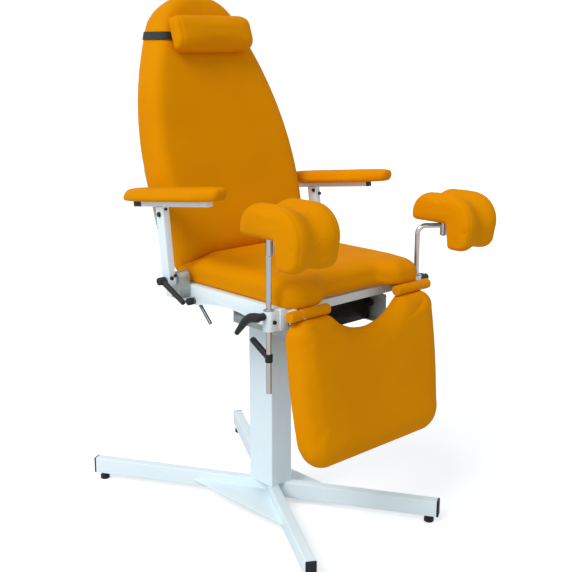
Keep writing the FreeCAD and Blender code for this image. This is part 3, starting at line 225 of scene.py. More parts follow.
# %% Zinc
zinc, tree, shader, place = start_material("zinc_plated_steel", {"Metallic": 0.55})
spangle = {"Vector": place, "Scale": per_metre(14), "Detail": 5, "Roughness": 0.6}
crystal = add_node(tree, NOISE, {}, spangle)["Fac"]
tone = add_node(tree, MIX, COLOUR, {0: crystal, 6: paint("#98A3A0"), 7: paint("#BEC8C7")})[2]
tree.links.new(tone, shader.inputs["Base Color"])
wear = add_node(tree, NOISE, {}, {"Vector": place, "Scale": per_metre(6), "Detail": 3})["Fac"]
gloss = add_node(tree, RANGE, {}, {"Value": wear, "To Min": 0.34, "To Max": 0.58})["Result"]
tree.links.new(gloss, shader.inputs["Roughness"])
pits = add_node(tree, NOISE, {}, {"Vector": place, "Scale": per_metre(1.8), "Detail": 2})["Fac"]
skin = add_node(tree, BUMP, {}, {"Height": pits, "Distance": 0.1 * MM, "Strength": 0.2})["Normal"]
tree.links.new(skin, shader.inputs["Normal"])
print(zinc.name)

# %% [markdown]
# ## Chrome plate
# The holder rods are bright chrome plate on drawn bar. It mirrors the room, and the drawing dies leave
# very fine lines along the bar, so the pattern is stretched along the upright. The dark specular tint at
# grazing angles paints dark rims on the rods: a painted reflection of dark corners, which this room lacks.

# %% Chrome
# Specular Tint #303438 is a painted reflection: it paints dark rims where the rods turn away.
chrome_with_painted_rims = {"Metallic": 1.0, "Base Color": paint("#D2D5D8"), "Specular Tint": paint("#303438")}
chrome, tree, shader, place = start_material("chrome_plated_steel", chrome_with_painted_rims)
drawn = add_node(tree, MAPPING, {}, {"Vector": place, "Scale": (1, 1, 0.03)})["Vector"]
lines = add_node(tree, NOISE, {}, {"Vector": drawn, "Scale": per_metre(1.5), "Detail": 3})["Fac"]
gloss = add_node(tree, RANGE, {}, {"Value": lines, "To Min": 0.06, "To Max": 0.26})["Result"]
tree.links.new(gloss, shader.inputs["Roughness"])
skin = add_node(tree, BUMP, {}, {"Height": lines, "Distance": 0.05 * MM, "Strength": 0.1})["Normal"]
tree.links.new(skin, shader.inputs["Normal"])
print(chrome.name)

# %% [markdown]
# ## Burnished steel
# The two release rods are plain drawn steel, oiled and darker than the chrome, with a soft streaky
# shine.

# %% Burnished steel
burnished, tree, shader, place = start_material("burnished_steel", {"Metallic": 1.0})
oiled = {"Vector": place, "Scale": per_metre(9), "Detail": 4, "Roughness": 0.6}
streaks = add_node(tree, NOISE, {}, oiled)["Fac"]
tone = add_node(tree, MIX, COLOUR, {0: streaks, 6: paint("#5E6466"), 7: paint("#7F8688")})[2]
tree.links.new(tone, shader.inputs["Base Color"])
gloss = add_node(tree, RANGE, {}, {"Value": streaks, "To Min": 0.26, "To Max": 0.46})["Result"]
tree.links.new(gloss, shader.inputs["Roughness"])
skin = add_node(tree, BUMP, {}, {"Height": streaks, "Distance": 0.05 * MM, "Strength": 0.15})["Normal"]
tree.links.new(skin, shader.inputs["Normal"])
print(burnished.name)

# %% [markdown]
# ## Black nylon
# Levers, grips, caps and feet are black nylon, moulded in a spark-eroded tool, so they have a fine dull
# grain, and hands rub the raised parts a little lighter.

# %% Nylon
nylon, tree, shader, place = start_material("black_nylon", {"IOR": 1.53, "Specular IOR Level": 0.35})
hands = {"Vector": place, "Scale": per_metre(18), "Detail": 4, "Roughness": 0.6}
rubbed = add_node(tree, NOISE, {}, hands)["Fac"]
tone = add_node(tree, MIX, COLOUR, {0: rubbed, 6: paint("#0E0F12"), 7: paint("#1E2024")})[2]
tree.links.new(tone, shader.inputs["Base Color"])
wear = add_node(tree, NOISE, {}, {"Vector": place, "Scale": per_metre(7), "Detail": 3})["Fac"]
gloss = add_node(tree, RANGE, {}, {"Value": wear, "To Min": 0.36, "To Max": 0.6})["Result"]
tree.links.new(gloss, shader.inputs["Roughness"])
sparks = add_node(tree, NOISE, {}, {"Vector": place, "Scale": per_metre(1.1), "Detail": 2})["Fac"]
skin = add_node(tree, BUMP, {}, {"Height": sparks, "Distance": 0.12 * MM, "Strength": 0.3})["Normal"]
tree.links.new(skin, shader.inputs["Normal"])
print(nylon.name)

# %% [markdown]
# ## Black ABS
# The tray is vacuum-formed black ABS, smoother than the mouldings, with a few marks from wiping along
# its length.

# %% ABS
abs_black, tree, shader, place = start_material("black_abs", {"IOR": 1.54, "Specular IOR Level": 0.2})
wiped = add_node(tree, MAPPING, {}, {"Vector": place, "Scale": (0.15, 1, 1)})["Vector"]
wipes = {"Vector": wiped, "Scale": per_metre(5), "Detail": 4, "Roughness": 0.65}
marks = add_node(tree, NOISE, {}, wipes)["Fac"]
tone = add_node(tree, MIX, COLOUR, {0: marks, 6: paint("#0D0D0E"), 7: paint("#1D1E20")})[2]
tree.links.new(tone, shader.inputs["Base Color"])
gloss = add_node(tree, RANGE, {}, {"Value": marks, "To Min": 0.2, "To Max": 0.46})["Result"]
tree.links.new(gloss, shader.inputs["Roughness"])
drape = add_node(tree, NOISE, {}, {"Vector": place, "Scale": per_metre(1.6), "Detail": 1})["Fac"]
skin = add_node(tree, BUMP, {}, {"Height": drape, "Distance": 0.06 * MM, "Strength": 0.2})["Normal"]
tree.links.new(skin, shader.inputs["Normal"])
print(abs_black.name)

# %% [markdown]
# ## Woven strap
# The headrest hangs on black polypropylene webbing, a plain weave of flat yarns about two millimetres
# wide, drawn at that size, with a slight fuzz that catches the light. At scale 1 the wave pattern
# repeats every tenth of pi, so the scale is multiplied by that.

# %% Webbing
WAVE_PERIOD = math.pi / 10
fuzzy = {"IOR": 1.5, "Roughness": 0.7, "Sheen Weight": 0.05}
webbing, tree, shader, place = start_material("polypropylene_webbing", fuzzy)
yarn = {"Vector": place, "Scale": per_metre(2) * WAVE_PERIOD, "Distortion": 0.6}
warp = add_node(tree, "ShaderNodeTexWave", {"bands_direction": "Z"}, yarn)["Fac"]
weft = add_node(tree, "ShaderNodeTexWave", {"bands_direction": "X"}, yarn)["Fac"]
weave = add_node(tree, MATH, {"operation": "MULTIPLY"}, {0: warp, 1: weft})[0]
tone = add_node(tree, MIX, COLOUR, {0: weave, 6: paint("#08090B"), 7: paint("#1A1B1F")})[2]
tree.links.new(tone, shader.inputs["Base Color"])
skin = add_node(tree, BUMP, {}, {"Height": weave, "Distance": 0.4 * MM, "Strength": 0.5})["Normal"]
tree.links.new(skin, shader.inputs["Normal"])
print(webbing.name)

# %% [markdown]
# ## Plywood
# The boards behind the cushions are lacquered birch plywood: pale wood with long streaks along the
# grain and a thin satin film.

# %% Plywood
film = {"IOR": 1.5, "Specular IOR Level": 0.35}
plywood, tree, shader, place = start_material("lacquered_birch_plywood", film)
along = add_node(tree, MAPPING, {}, {"Vector": place, "Scale": (1, 0.12, 0.12)})["Vector"]
wood = {"Vector": along, "Scale": per_metre(11), "Detail": 5, "Roughness": 0.6}
figure = add_node(tree, NOISE, {}, wood)["Fac"]
tone = add_node(tree, MIX, COLOUR, {0: figure, 6: paint("#AE8450"), 7: paint("#DCBA88")})[2]
tree.links.new(tone, shader.inputs["Base Color"])
gloss = add_node(tree, RANGE, {}, {"Value": figure, "To Min": 0.32, "To Max": 0.54})["Result"]
tree.links.new(gloss, shader.inputs["Roughness"])
skin = add_node(tree, BUMP, {}, {"Height": figure, "Distance": 0.2 * MM, "Strength": 0.25})["Normal"]
tree.links.new(skin, shader.inputs["Normal"])
print(plywood.name)

# %% [markdown]
# ## Finishes by slot
# Every solid names the slot of its finish, so the solids that stay as they are only need to be painted.
# The release rods are darker than the chrome of their slot, and the bushes show as plated steel.

# %% Paint the solids
FINISH = {
    "orange_vinyl": vinyl,
    "powder_coat": powder,
    "grey_steel": zinc,
    "chrome": chrome,
    "black_plastic": nylon,
    "tray_plastic": abs_black,
    "strap_webbing": webbing,
    "plywood": plywood,
}
for name, solid in nodes.items():
    solid.data.materials.clear()
    solid.data.materials.append(FINISH[slot_of_node[name]])
for name in ("back_release_lever", "leg_release_lever"):
    nodes[name].data.materials[0] = burnished
for name in ("right_holder_bush", "left_holder_bush"):
    nodes[name].data.materials[0] = zinc
print("finishes", len(FINISH))

# %% [markdown]
# ## Steel with eased edges
# Cut and folded steel never has a knife edge: it is deburred, and the coat rounds it further. Each
# solid is copied, its triangles are joined into plain faces again, and its sharp edges get a small
# bevel that catches the light.


# %% Ease the edges
SMOOTH_ANGLE = math.radians(40)
SHARP_EDGE = {"limit_method": "ANGLE", "angle_limit": math.radians(35)}


def only(piece):
    """Selects one piece and makes it active."""
    bpy.ops.object.select_all(action="DESELECT")
    piece.select_set(True)
    bpy.context.view_layer.objects.active = piece


def apply_modifier(piece, kind, **settings):
    """Adds a modifier with its settings and applies it at once."""
    only(piece)
    modifier = piece.modifiers.new(kind.lower(), kind)
    for setting, value in settings.items():
        setattr(modifier, setting, value)
    bpy.ops.object.modifier_apply(modifier=modifier.name)


def welded_copy(node_name, piece_name):
    """A copy of a solid's mesh as a piece of its own, with its loose triangles joined."""
    piece = bpy.data.objects.new(piece_name, nodes[node_name].data.copy())
    scene.collection.objects.link(piece)
    only(piece)
    bpy.ops.object.mode_set(mode="EDIT")
    bpy.ops.mesh.select_all(action="SELECT")
    bpy.ops.mesh.remove_doubles(threshold=0.02 * MM)
    bpy.ops.mesh.normals_make_consistent(inside=False)
    bpy.ops.object.mode_set(mode="OBJECT")
    return piece


def dress(piece, body, slot):
    """Gives a piece its finish and the body that it moves with."""
    piece.data.materials.clear()
    piece.data.materials.append(FINISH[slot])
    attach(piece, body)


def ease(node_name, width_mm):
    """A copy of a solid with bevelled edges, in the solid's place."""
    piece = welded_copy(node_name, node_name + "_eased")
    bpy.ops.object.mode_set(mode="EDIT")
    bpy.ops.mesh.select_all(action="SELECT")
    bpy.ops.mesh.dissolve_limited(angle_limit=math.radians(0.5))
    bpy.ops.object.mode_set(mode="OBJECT")
    apply_modifier(piece, "BEVEL", width=width_mm * MM, segments=2, **SHARP_EDGE)
    bpy.ops.object.shade_smooth_by_angle(angle=SMOOTH_ANGLE)
    dress(piece, body_of_node[node_name], slot_of_node[node_name])
    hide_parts(node_name)
    return len(piece.data.polygons)


EASED_MM = {
    "base_through_tube": 0.8,
    "base_half_arms": 0.8,
    "base_gussets": 1.2,
    "base_end_caps": 1.6,
    "column": 1.0,
    "right_seat_rail": 1.5,
    "left_seat_rail": 1.5,
    "seat_cross_frame": 0.8,
    "seat_board": 1.5,
    "back_board": 1.5,
    "legrest_board": 1.2,
    "right_back_arm": 0.8,
    "left_back_arm": 0.8,
    "back_cross_bars": 1.0,
    "legrest_arms": 0.8,
    "legrest_cross_bar": 1.0,
    "tray_runners": 0.4,
    "right_armrest_bracket": 1.2,
    "left_armrest_bracket": 1.2,
    "right_armrest_frame": 1.5,
    "left_armrest_frame": 1.5,
    "right_armrest_caps": 1.4,
    "left_armrest_caps": 1.4,
    "right_holder_clamp": 1.5,
    "left_holder_clamp": 1.5,
    "right_knee_pad_mount": 0.8,
    "left_knee_pad_mount": 0.8,
    "drain_tray": 0.8,
}
for name, width in EASED_MM.items():
    print(name, ease(name, width), "faces")

# %% [markdown]
# ## Painted bar end
# The near armrest's bar is closed at its front by a welded plate and painted with it; only its rear end
# has a black plug. So the front plug of that piece gets the powder coat, and so do the cross tubes
# under the seat.

# %% Paint the front plug
caps = bpy.data.objects["right_armrest_caps_eased"]
caps.data.materials.append(powder)
for face in caps.data.polygons:
    face.material_index = int(face.center.y < 0)
bpy.data.objects["seat_cross_frame_eased"].data.materials[0] = powder
print(caps.name, "front painted")

# %% [markdown]
# ## Boards under their covers
# The cover is pulled round the edge of each board and stapled behind it, so the boards are a little
# smaller than their cushions and stay out of sight from the front.


# %% Draw the boards in
def draw_in(name, across, along):
    """Makes a board smaller about its middle, across the chair and along its own length."""
    board = bpy.data.objects[name + "_eased"]
    low, high = (Vector(corner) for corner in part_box(name))
    only(board)
    bpy.ops.object.mode_set(mode="EDIT")
    bpy.ops.mesh.select_all(action="SELECT")
    bpy.ops.transform.resize(value=(across, along, along), center_override=(low + high) / 2)
    bpy.ops.object.mode_set(mode="OBJECT")
    print(board.name, "drawn in")


draw_in("back_board", 0.92, 0.96)
draw_in("legrest_board", 0.94, 0.94)

# %% [markdown]
# ## Upholstery
# Each cushion is foam under a taut cover, so it swells a little between its edges and never has a flat
# wall. The solid's own shape is copied, remeshed into small even faces, drawn in a little, and then
# filled like a balloon by the cloth simulation, while the side that lies on its board is held. A cap
# keeps it close to the space of the solid.


# %% Fill a cover
FILL_STEPS = 20
FLAT_ON_BOARD = 0.75


def fill_with_foam(piece, held, cap_mm):
    """Swells a piece by air pressure; the faces that look along a held direction stay where they are."""
    start = [vertex.co.copy() for vertex in piece.data.vertices]
    group = piece.vertex_groups.new(name="held")
    fixed = [v.index for v in piece.data.vertices if any(v.normal.dot(way) > FLAT_ON_BOARD for way in held)]
    group.add(fixed, 1.0, "REPLACE")
    only(piece)
    cloth = piece.modifiers.new("cover", "CLOTH")
    cloth.settings.quality = 4
    cloth.settings.mass = 0.3
    cloth.settings.tension_stiffness = 12
    cloth.settings.compression_stiffness = 12
    cloth.settings.bending_stiffness = 2
    cloth.settings.use_pressure = True
    cloth.settings.uniform_pressure_force = 4
    cloth.settings.effector_weights.gravity = 0
    cloth.settings.vertex_group_mass = "held"
    cloth.point_cache.frame_start, cloth.point_cache.frame_end = 1, FILL_STEPS
    for step in range(1, FILL_STEPS + 1):
        scene.frame_set(step)
    bpy.ops.object.modifier_apply(modifier="cover")
    scene.frame_set(1)
    for vertex, origin in zip(piece.data.vertices, start):
        way = vertex.co - origin
        if way.length > cap_mm * MM:
            vertex.co = origin + way * (cap_mm * MM / way.length)
    piece.vertex_groups.clear()


def upholster(piece, face_mm, drawn_mm, cap_mm, held):
    """Turns a closed shape into a filled cover of small even faces."""
    only(piece)
    piece.data.remesh_voxel_size = face_mm * MM
    bpy.ops.object.voxel_remesh()
    apply_modifier(piece, "SMOOTH", factor=0.5, iterations=3)
    only(piece)
    bpy.ops.object.mode_set(mode="EDIT")
    bpy.ops.mesh.select_all(action="SELECT")
    bpy.ops.transform.shrink_fatten(value=-drawn_mm * MM)
    bpy.ops.object.mode_set(mode="OBJECT")
    fill_with_foam(piece, held, cap_mm)
    apply_modifier(piece, "SMOOTH", factor=0.5, iterations=2)


def finish_cushion(piece, body):
    """Smooths a filled cover and dresses it as soft, padded upholstery."""
    apply_modifier(piece, "SUBSURF", levels=1, render_levels=1)
    bpy.ops.object.shade_smooth()
    dress(piece, body, "orange_vinyl")


def tilted(angle, forward, up):
    """A direction in a panel's own frame, which leans back by an angle."""
    lean = math.radians(angle)
    back = -forward * math.cos(lean) + up * math.sin(lean)
    rise = forward * math.sin(lean) + up * math.cos(lean)
    return Vector((0, back, rise))


BACK_LEAN, LEG_LEAN, ARM_LEAN = 19, 7.5, 6.5
BACK_HINGE, LEG_HINGE = Vector((0, 122, 706)), Vector((0, -366, 707))
UP, DOWN, REAR = Vector((0, 0, 1)), Vector((0, 0, -1)), Vector((0, 1, 0))
BACK_FACE, LEG_FACE = tilted(BACK_LEAN, 1, 0), tilted(LEG_LEAN, 1, 0)
ARM_FACE = tilted(ARM_LEAN, 0, 1)
print("back faces", tuple(BACK_FACE), "leg rest faces", tuple(LEG_FACE))

# %% [markdown]
# ## Seams
# A cover is sewn from panels. Along a seam the two panels are pulled into the foam, so the surface has
# a shallow furrow there: the ends of the headrest and the round side panels of the knee pads show it.
# The furrow is pressed into the filled cover at a given distance from its middle.


# %% Press a seam
def press_seam(piece, middle_mm, offset_mm, depth_mm, width_mm):
    """Draws in the faces near two upright planes, left and right of a middle."""
    outward = [vertex.normal.copy() for vertex in piece.data.vertices]
    for vertex, way in zip(piece.data.vertices, outward):
        away = abs(abs(vertex.co.x / MM - middle_mm) - offset_mm)
        vertex.co -= way * depth_mm * MM * math.exp(-((away / width_mm) ** 2))


def spread_cover(piece, face, grown_mm):
    """Pulls the cover outwards over the edges of a panel, but not out of its face."""
    outward = [vertex.normal.copy() for vertex in piece.data.vertices]
    for vertex, way in zip(piece.data.vertices, outward):
        vertex.co += (way - face * way.dot(face)) * grown_mm * MM


# %% [markdown]
# ## Covers shaped by hand
# The upholsterer pads and pulls the covers until they meet: the lower end of the back hangs down to the
# seat, the seat is rounded at its corners, the leg rest's cover goes round the rim of its board, and
# the armrest pads lean forwards. Each of these is a soft pull that fades in between two distances, as
# with a brush in the sculpt mode.


# %% Shape the covers
def ramp(value, start, end):
    """Rises evenly from 0 to 1 between two values and stays there."""
    return min(max((value - start) / (end - start), 0), 1)


def lower_the_end(piece):
    """Lets the lower end of the back hang: its front meets the seat, its rear goes down behind it."""
    front_drop, rear_drop, side_drop, rear_side_drop = 14, 34, 18, 10
    up = tilted(BACK_LEAN, 0, 1)
    for vertex in piece.data.vertices:
        place = (vertex.co - BACK_HINGE * MM) / MM
        low = ramp(place.dot(up), 170, 72)
        rear = ramp(place.dot(BACK_FACE), 30, -10)
        beside = ramp(abs(place.x), 140, 220)
        sides = side_drop + (rear_side_drop - side_drop) * rear
        vertex.co -= up * (front_drop + rear_drop * rear + sides * beside) * MM * low * low


def lower_the_front(piece):
    """Rounds the seat's front corners down and lets them reach a little over the frame."""
    top_drop, edge_drop = 10, 4
    for vertex in piece.data.vertices:
        x, y, z = vertex.co / MM
        ahead = ramp(y, -230, -340)
        beside = ramp(abs(x), 125, 225)
        low = ramp(z, 752, 722)
        vertex.co.z -= (top_drop * ahead * (1 - low) + edge_drop * low) * MM * ahead * beside


def lower_the_corners(piece):
    """Rounds the seat's rear corners down, where the sides of the back press on them."""
    corner_drop = 24
    for vertex in piece.data.vertices:
        x, y, z = vertex.co / MM
        behind = ramp(y, 25, 95)
        beside = ramp(abs(x), 135, 230)
        high = ramp(z, 730, 780)
        vertex.co.z -= corner_drop * MM * behind * beside * high


def lean_ends(piece, name):
    """Shears an armrest pad forwards, so that its top overhangs at the front."""
    slant = 0.45
    low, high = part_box(name)
    for vertex in piece.data.vertices:
        vertex.co.y -= slant * (vertex.co.z - (low[2] + high[2]) / 2)


def wrap_rim(piece):
    """Lets the leg rest's cover wrap round the rim of its board, with sides that swell a little."""
    wrapped, swell, length = 11, 8, 360
    down = tilted(LEG_LEAN, 0, -1)
    for vertex in piece.data.vertices:
        place = (vertex.co - LEG_HINGE * MM) / MM
        beside = ramp(abs(place.x), 230, 254)
        below = ramp(place.dot(down), 340, 400)
        behind = ramp(place.dot(LEG_FACE), 30, -20)
        vertex.co -= LEG_FACE * wrapped * MM * max(beside, below) * behind
        belly = math.sin(math.pi * ramp(place.dot(down), 0, length))
        vertex.co.x += math.copysign(swell * MM, place.x) * belly * ramp(abs(place.x), 150, 250)


def widen(piece, name, share):
    """Widens a piece towards the middle of the chair, from its solid's low side."""
    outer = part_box(name)[0][0]
    for vertex in piece.data.vertices:
        vertex.co.x = outer + (vertex.co.x - outer) * share


# %% [markdown]
# ## The cushions
# The seat, the back, the headrest, the leg rest, the armrest pads and the knee pads are made one after
# the other. Each row gives the size of the even faces, the cap of the filling, the sides that lie on a
# board, the side that one sees, and the pull over the edges. The knee pads have no flat side, so they
# grow all round.

# %% Make the cushions
ALL_ROUND = Vector((0, 0, 0))
DRAWN_MM = 0.5
CUSHIONS = {
    "seat_cushion": (6, 3, [DOWN], UP, 2.0),
    "back_cushion": (7, 2, [-BACK_FACE], BACK_FACE, 6.0),
    "headrest_cushion": (3.5, 3, [-BACK_FACE], BACK_FACE, 2.0),
    "legrest_cushion": (6, 3, [-LEG_FACE], LEG_FACE, 7.5),
    "right_armrest_pad": (3, 2, [-ARM_FACE], ARM_FACE, 2.5),
    "left_armrest_pad": (3, 2, [-ARM_FACE], ARM_FACE, 2.0),
    "right_knee_pad": (3, 2.5, [DOWN, REAR], ALL_ROUND, 5.0),
    "left_knee_pad": (3, 2.5, [DOWN, REAR], ALL_ROUND, 4.0),
}
for name, (face_mm, cap_mm, held, face, grown_mm) in CUSHIONS.items():
    cushion = welded_copy(name, name.replace("cushion", "upholstery").replace("pad", "upholstery"))
    upholster(cushion, face_mm, DRAWN_MM, cap_mm, held)
    spread_cover(cushion, face, grown_mm)
    middle = sum(corner[0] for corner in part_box(name)) / 2 / MM
    if name == "back_cushion":
        lower_the_end(cushion)
    if name == "seat_cushion":
        lower_the_front(cushion)
        lower_the_corners(cushion)
    if "armrest" in name:
        lean_ends(cushion, name)
    if name == "legrest_cushion":
        wrap_rim(cushion)
    if name == "right_knee_pad":
        widen(cushion, name, share=1.07)
    if name == "headrest_cushion":
        press_seam(cushion, middle, offset_mm=125, depth_mm=1.6, width_mm=2.6)
    if "knee" in name:
        press_seam(cushion, middle, offset_mm=0, depth_mm=6.5, width_mm=27)
        press_seam(cushion, middle, offset_mm=58, depth_mm=1.4, width_mm=2.6)
    finish_cushion(cushion, body_of_node[name])
    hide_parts(name)
    print(cushion.name, len(cushion.data.polygons), "faces")

# %% [markdown]
# ## The strap round the back
# The headrest hangs on a strap that is pulled level round the back, cushion and board together, so it
# follows their skin all the way. Both are copied and fused, two level cuts leave a ring of that skin,
# and the ring is lifted off a little and given the thickness of webbing.


# %% Strap
def join(name, pieces):
    """Joins pieces into one object."""
    only(pieces[0])
    for piece in pieces:
        piece.select_set(True)
    bpy.ops.object.join()
    pieces[0].name = name
    return pieces[0]


skins = []
for source in ("back_upholstery", "back_board_eased"):
    skin = bpy.data.objects.new(source + "_skin", bpy.data.objects[source].data.copy())
    scene.collection.objects.link(skin)
    skins.append(skin)
strap = join("headrest_strap_webbing", skins)
strap.data.remesh_voxel_size = 5 * MM
bpy.ops.object.voxel_remesh()
apply_modifier(strap, "SMOOTH", factor=0.5, iterations=6)
STRAP_LOW, STRAP_HIGH = 1373 * MM, 1395 * MM
bpy.ops.object.mode_set(mode="EDIT")
bpy.ops.mesh.select_all(action="SELECT")
bpy.ops.mesh.bisect(plane_co=(0, 0, STRAP_LOW), plane_no=(0, 0, 1), clear_inner=True)
bpy.ops.mesh.select_all(action="SELECT")
bpy.ops.mesh.bisect(plane_co=(0, 0, STRAP_HIGH), plane_no=(0, 0, 1), clear_outer=True)
bpy.ops.mesh.select_all(action="SELECT")
bpy.ops.transform.shrink_fatten(value=1.5 * MM)
bpy.ops.object.mode_set(mode="OBJECT")
apply_modifier(strap, "SOLIDIFY", thickness=2 * MM, offset=1)
bpy.ops.object.shade_smooth_by_angle(angle=SMOOTH_ANGLE)
dress(strap, "headrest", "strap_webbing")
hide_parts("headrest_strap")
print(strap.name, len(strap.data.polygons), "faces")

# %% [markdown]
# ## Hinge rolls
# Two upholstered rolls cover the hinge between the seat and the leg rest. Each is a stuffed tube: the
# part that turns with the leg rest covers the hinge arm, and a short end on the seat frame covers the
# fixed lug beside it.


# %% Rolls
ROLL_RADIUS = 14.8 * MM
ACROSS = (0, math.radians(90), 0)
ROUND_RIM = {"limit_method": "ANGLE", "angle_limit": math.radians(60)}


def stuffed_roll(name, start_mm, end_mm):
    """A closed tube on the hinge line between two distances from the middle."""
    bpy.ops.object.select_all(action="DESELECT")
    middle = LEG_HINGE * MM + Vector(((start_mm + end_mm) / 2 * MM, 0, 0))
    size = {"radius": ROLL_RADIUS, "depth": abs(end_mm - start_mm) * MM}
    bpy.ops.mesh.primitive_cylinder_add(vertices=64, location=middle, rotation=ACROSS, **size)
    roll = bpy.context.object
    roll.name = name
    bpy.ops.object.transform_apply(location=True, rotation=True, scale=True)
    apply_modifier(roll, "BEVEL", width=1.6 * MM, segments=3, **ROUND_RIM)
    return roll


ROLL_COVER = {"face_mm": 2, "drawn_mm": 0.4, "cap_mm": 0.8, "held": []}
pair = [stuffed_roll("near_roll", -229, -132), stuffed_roll("far_roll", 132, 229)]
rolls = join("hinge_rolls", pair)
upholster(rolls, **ROLL_COVER)
finish_cushion(rolls, "legrest")
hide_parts("legrest_hinge_rolls")
pair = [stuffed_roll("near_end", -268, -229.6), stuffed_roll("far_end", 229.6, 268)]
roll_ends = join("hinge_roll_ends", pair)
upholster(roll_ends, **ROLL_COVER)
finish_cushion(roll_ends, "chair")
print(rolls.name, roll_ends.name)

# %% [markdown]
# ## Levers
# The clamping levers are black mouldings: a turned hub with a shallow dish for the screw, and an arm
# that grows out of it and tapers towards a rounded tip. The arm is drawn as a path with a thickness at
# each point; hub and arm are then fused by a fine remesh, so that they meet in a fillet as they do in
# the mould.


# %% Moulded levers
def turned_hub(place_mm, radius_mm, length_mm):
    """A round hub across the chair, with rounded rims and dished ends."""
    bpy.ops.object.select_all(action="DESELECT")
    place = Vector(place_mm) * MM
    size = {"radius": radius_mm * MM, "depth": length_mm * MM}
    bpy.ops.mesh.primitive_cylinder_add(vertices=48, location=place, rotation=ACROSS, **size)
    hub = bpy.context.object
    bpy.ops.object.transform_apply(location=True, rotation=True, scale=True)
    bpy.ops.object.mode_set(mode="EDIT")
    bpy.ops.mesh.select_all(action="DESELECT")
    bpy.ops.object.mode_set(mode="OBJECT")
    for face in hub.data.polygons:
        face.select = abs(face.normal.x) > 0.9
    bpy.ops.object.mode_set(mode="EDIT")
    bpy.ops.mesh.inset(thickness=radius_mm * 0.3 * MM, depth=0)
    bpy.ops.mesh.inset(thickness=radius_mm * 0.1 * MM, depth=-1.2 * MM)
    bpy.ops.object.mode_set(mode="OBJECT")
    apply_modifier(hub, "BEVEL", width=1.5 * MM, segments=3, **ROUND_RIM)
    return hub


def drawn_arm(points_mm, radii_mm):
    """A closed bar along a path of five points, with a thickness at each."""
    bpy.ops.object.select_all(action="DESELECT")
    bpy.ops.curve.primitive_nurbs_path_add()
    arm = bpy.context.object
    spline = arm.data.splines[0]
    spline.order_u = 3
    for point, place, radius in zip(spline.points, points_mm, radii_mm):
        point.co = (*(Vector(place) * MM), 1)
        point.radius = radius
    arm.data.bevel_depth = MM
    arm.data.bevel_resolution = 6
    arm.data.use_fill_caps = True
    bpy.ops.object.convert(target="MESH")
    return bpy.context.object


def mould(name, pieces, body, face_mm, node_name):
    """Fuses pieces into one black moulding, which takes the place of a solid where one is named."""
    moulding = join(name, pieces)
    moulding.data.remesh_voxel_size = face_mm * MM
    bpy.ops.object.voxel_remesh()
    apply_modifier(moulding, "SMOOTH", factor=0.5, iterations=3)
    bpy.ops.object.shade_smooth()
    dress(moulding, body, "black_plastic")
    if node_name:
        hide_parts(node_name)
    print(name, len(moulding.data.polygons), "faces")


# %% [markdown]
# ## Levers on both sides
# The armrest levers hang on the pivots, which sit further back on the far side. Their arms are straight
# and point forwards and down. The clamp levers lie on the holders' clamps; their arms bend down behind
# the hub.

# %% Armrest levers and clamp levers
ARM_PIVOTS = {"right": (-1, 55), "left": (1, 125)}
PIVOT_HEIGHT, HUB_OUT, ARM_OUT = 739, 345, 343
ARM_REACHES, ARM_RADII = (0, 26, 52, 78, 103), (8.4, 7.8, 7.4, 7.2, 7.2)
LEVER_FALL = math.radians(25)
lever_way = Vector((0, -math.cos(LEVER_FALL), -math.sin(LEVER_FALL)))
for side, (sign, pivot_y) in ARM_PIVOTS.items():
    hub = turned_hub((sign * HUB_OUT, pivot_y, PIVOT_HEIGHT), radius_mm=12, length_mm=24)
    pivot = Vector((sign * ARM_OUT, pivot_y, PIVOT_HEIGHT))
    arm = drawn_arm([pivot + lever_way * reach for reach in ARM_REACHES], ARM_RADII)
    lever = f"{side}_armrest_lever"
    mould(lever + "_moulding", [hub, arm], lever, 0.9, lever)

HOLDER_OUT, HOLDER_Y, CLAMP_HEIGHT = 285, -311, 706
CLAMP_HUB_OUT, CLAMP_SCREW_OUT = 316.5, 299
CLAMP_PATH = [(318, -311, 705), (323, -291, 705), (325, -270, 693), (325, -252, 673), (325, -233, 651)]
CLAMP_RADII = (12, 12.5, 11, 9, 6.8)
for side, sign in (("right", -1), ("left", 1)):
    hub = turned_hub((sign * CLAMP_HUB_OUT, HOLDER_Y, CLAMP_HEIGHT), radius_mm=11, length_mm=33)
    screw = turned_hub((sign * CLAMP_SCREW_OUT, HOLDER_Y, CLAMP_HEIGHT), radius_mm=4, length_mm=6)
    arm = drawn_arm([(sign * x, y, z) for x, y, z in CLAMP_PATH], CLAMP_RADII)
    lever = f"{side}_clamp_lever"
    mould(lever + "_moulding", [hub, screw, arm], lever, 0.9, lever)

# %% [markdown]
# ## Grips
# Each holder rod carries a black grip: a collar on the rod and a short handle with moulded ribs for the
# fingers. One rib is a ring; it is set along the handle again and again before the whole grip is fused.

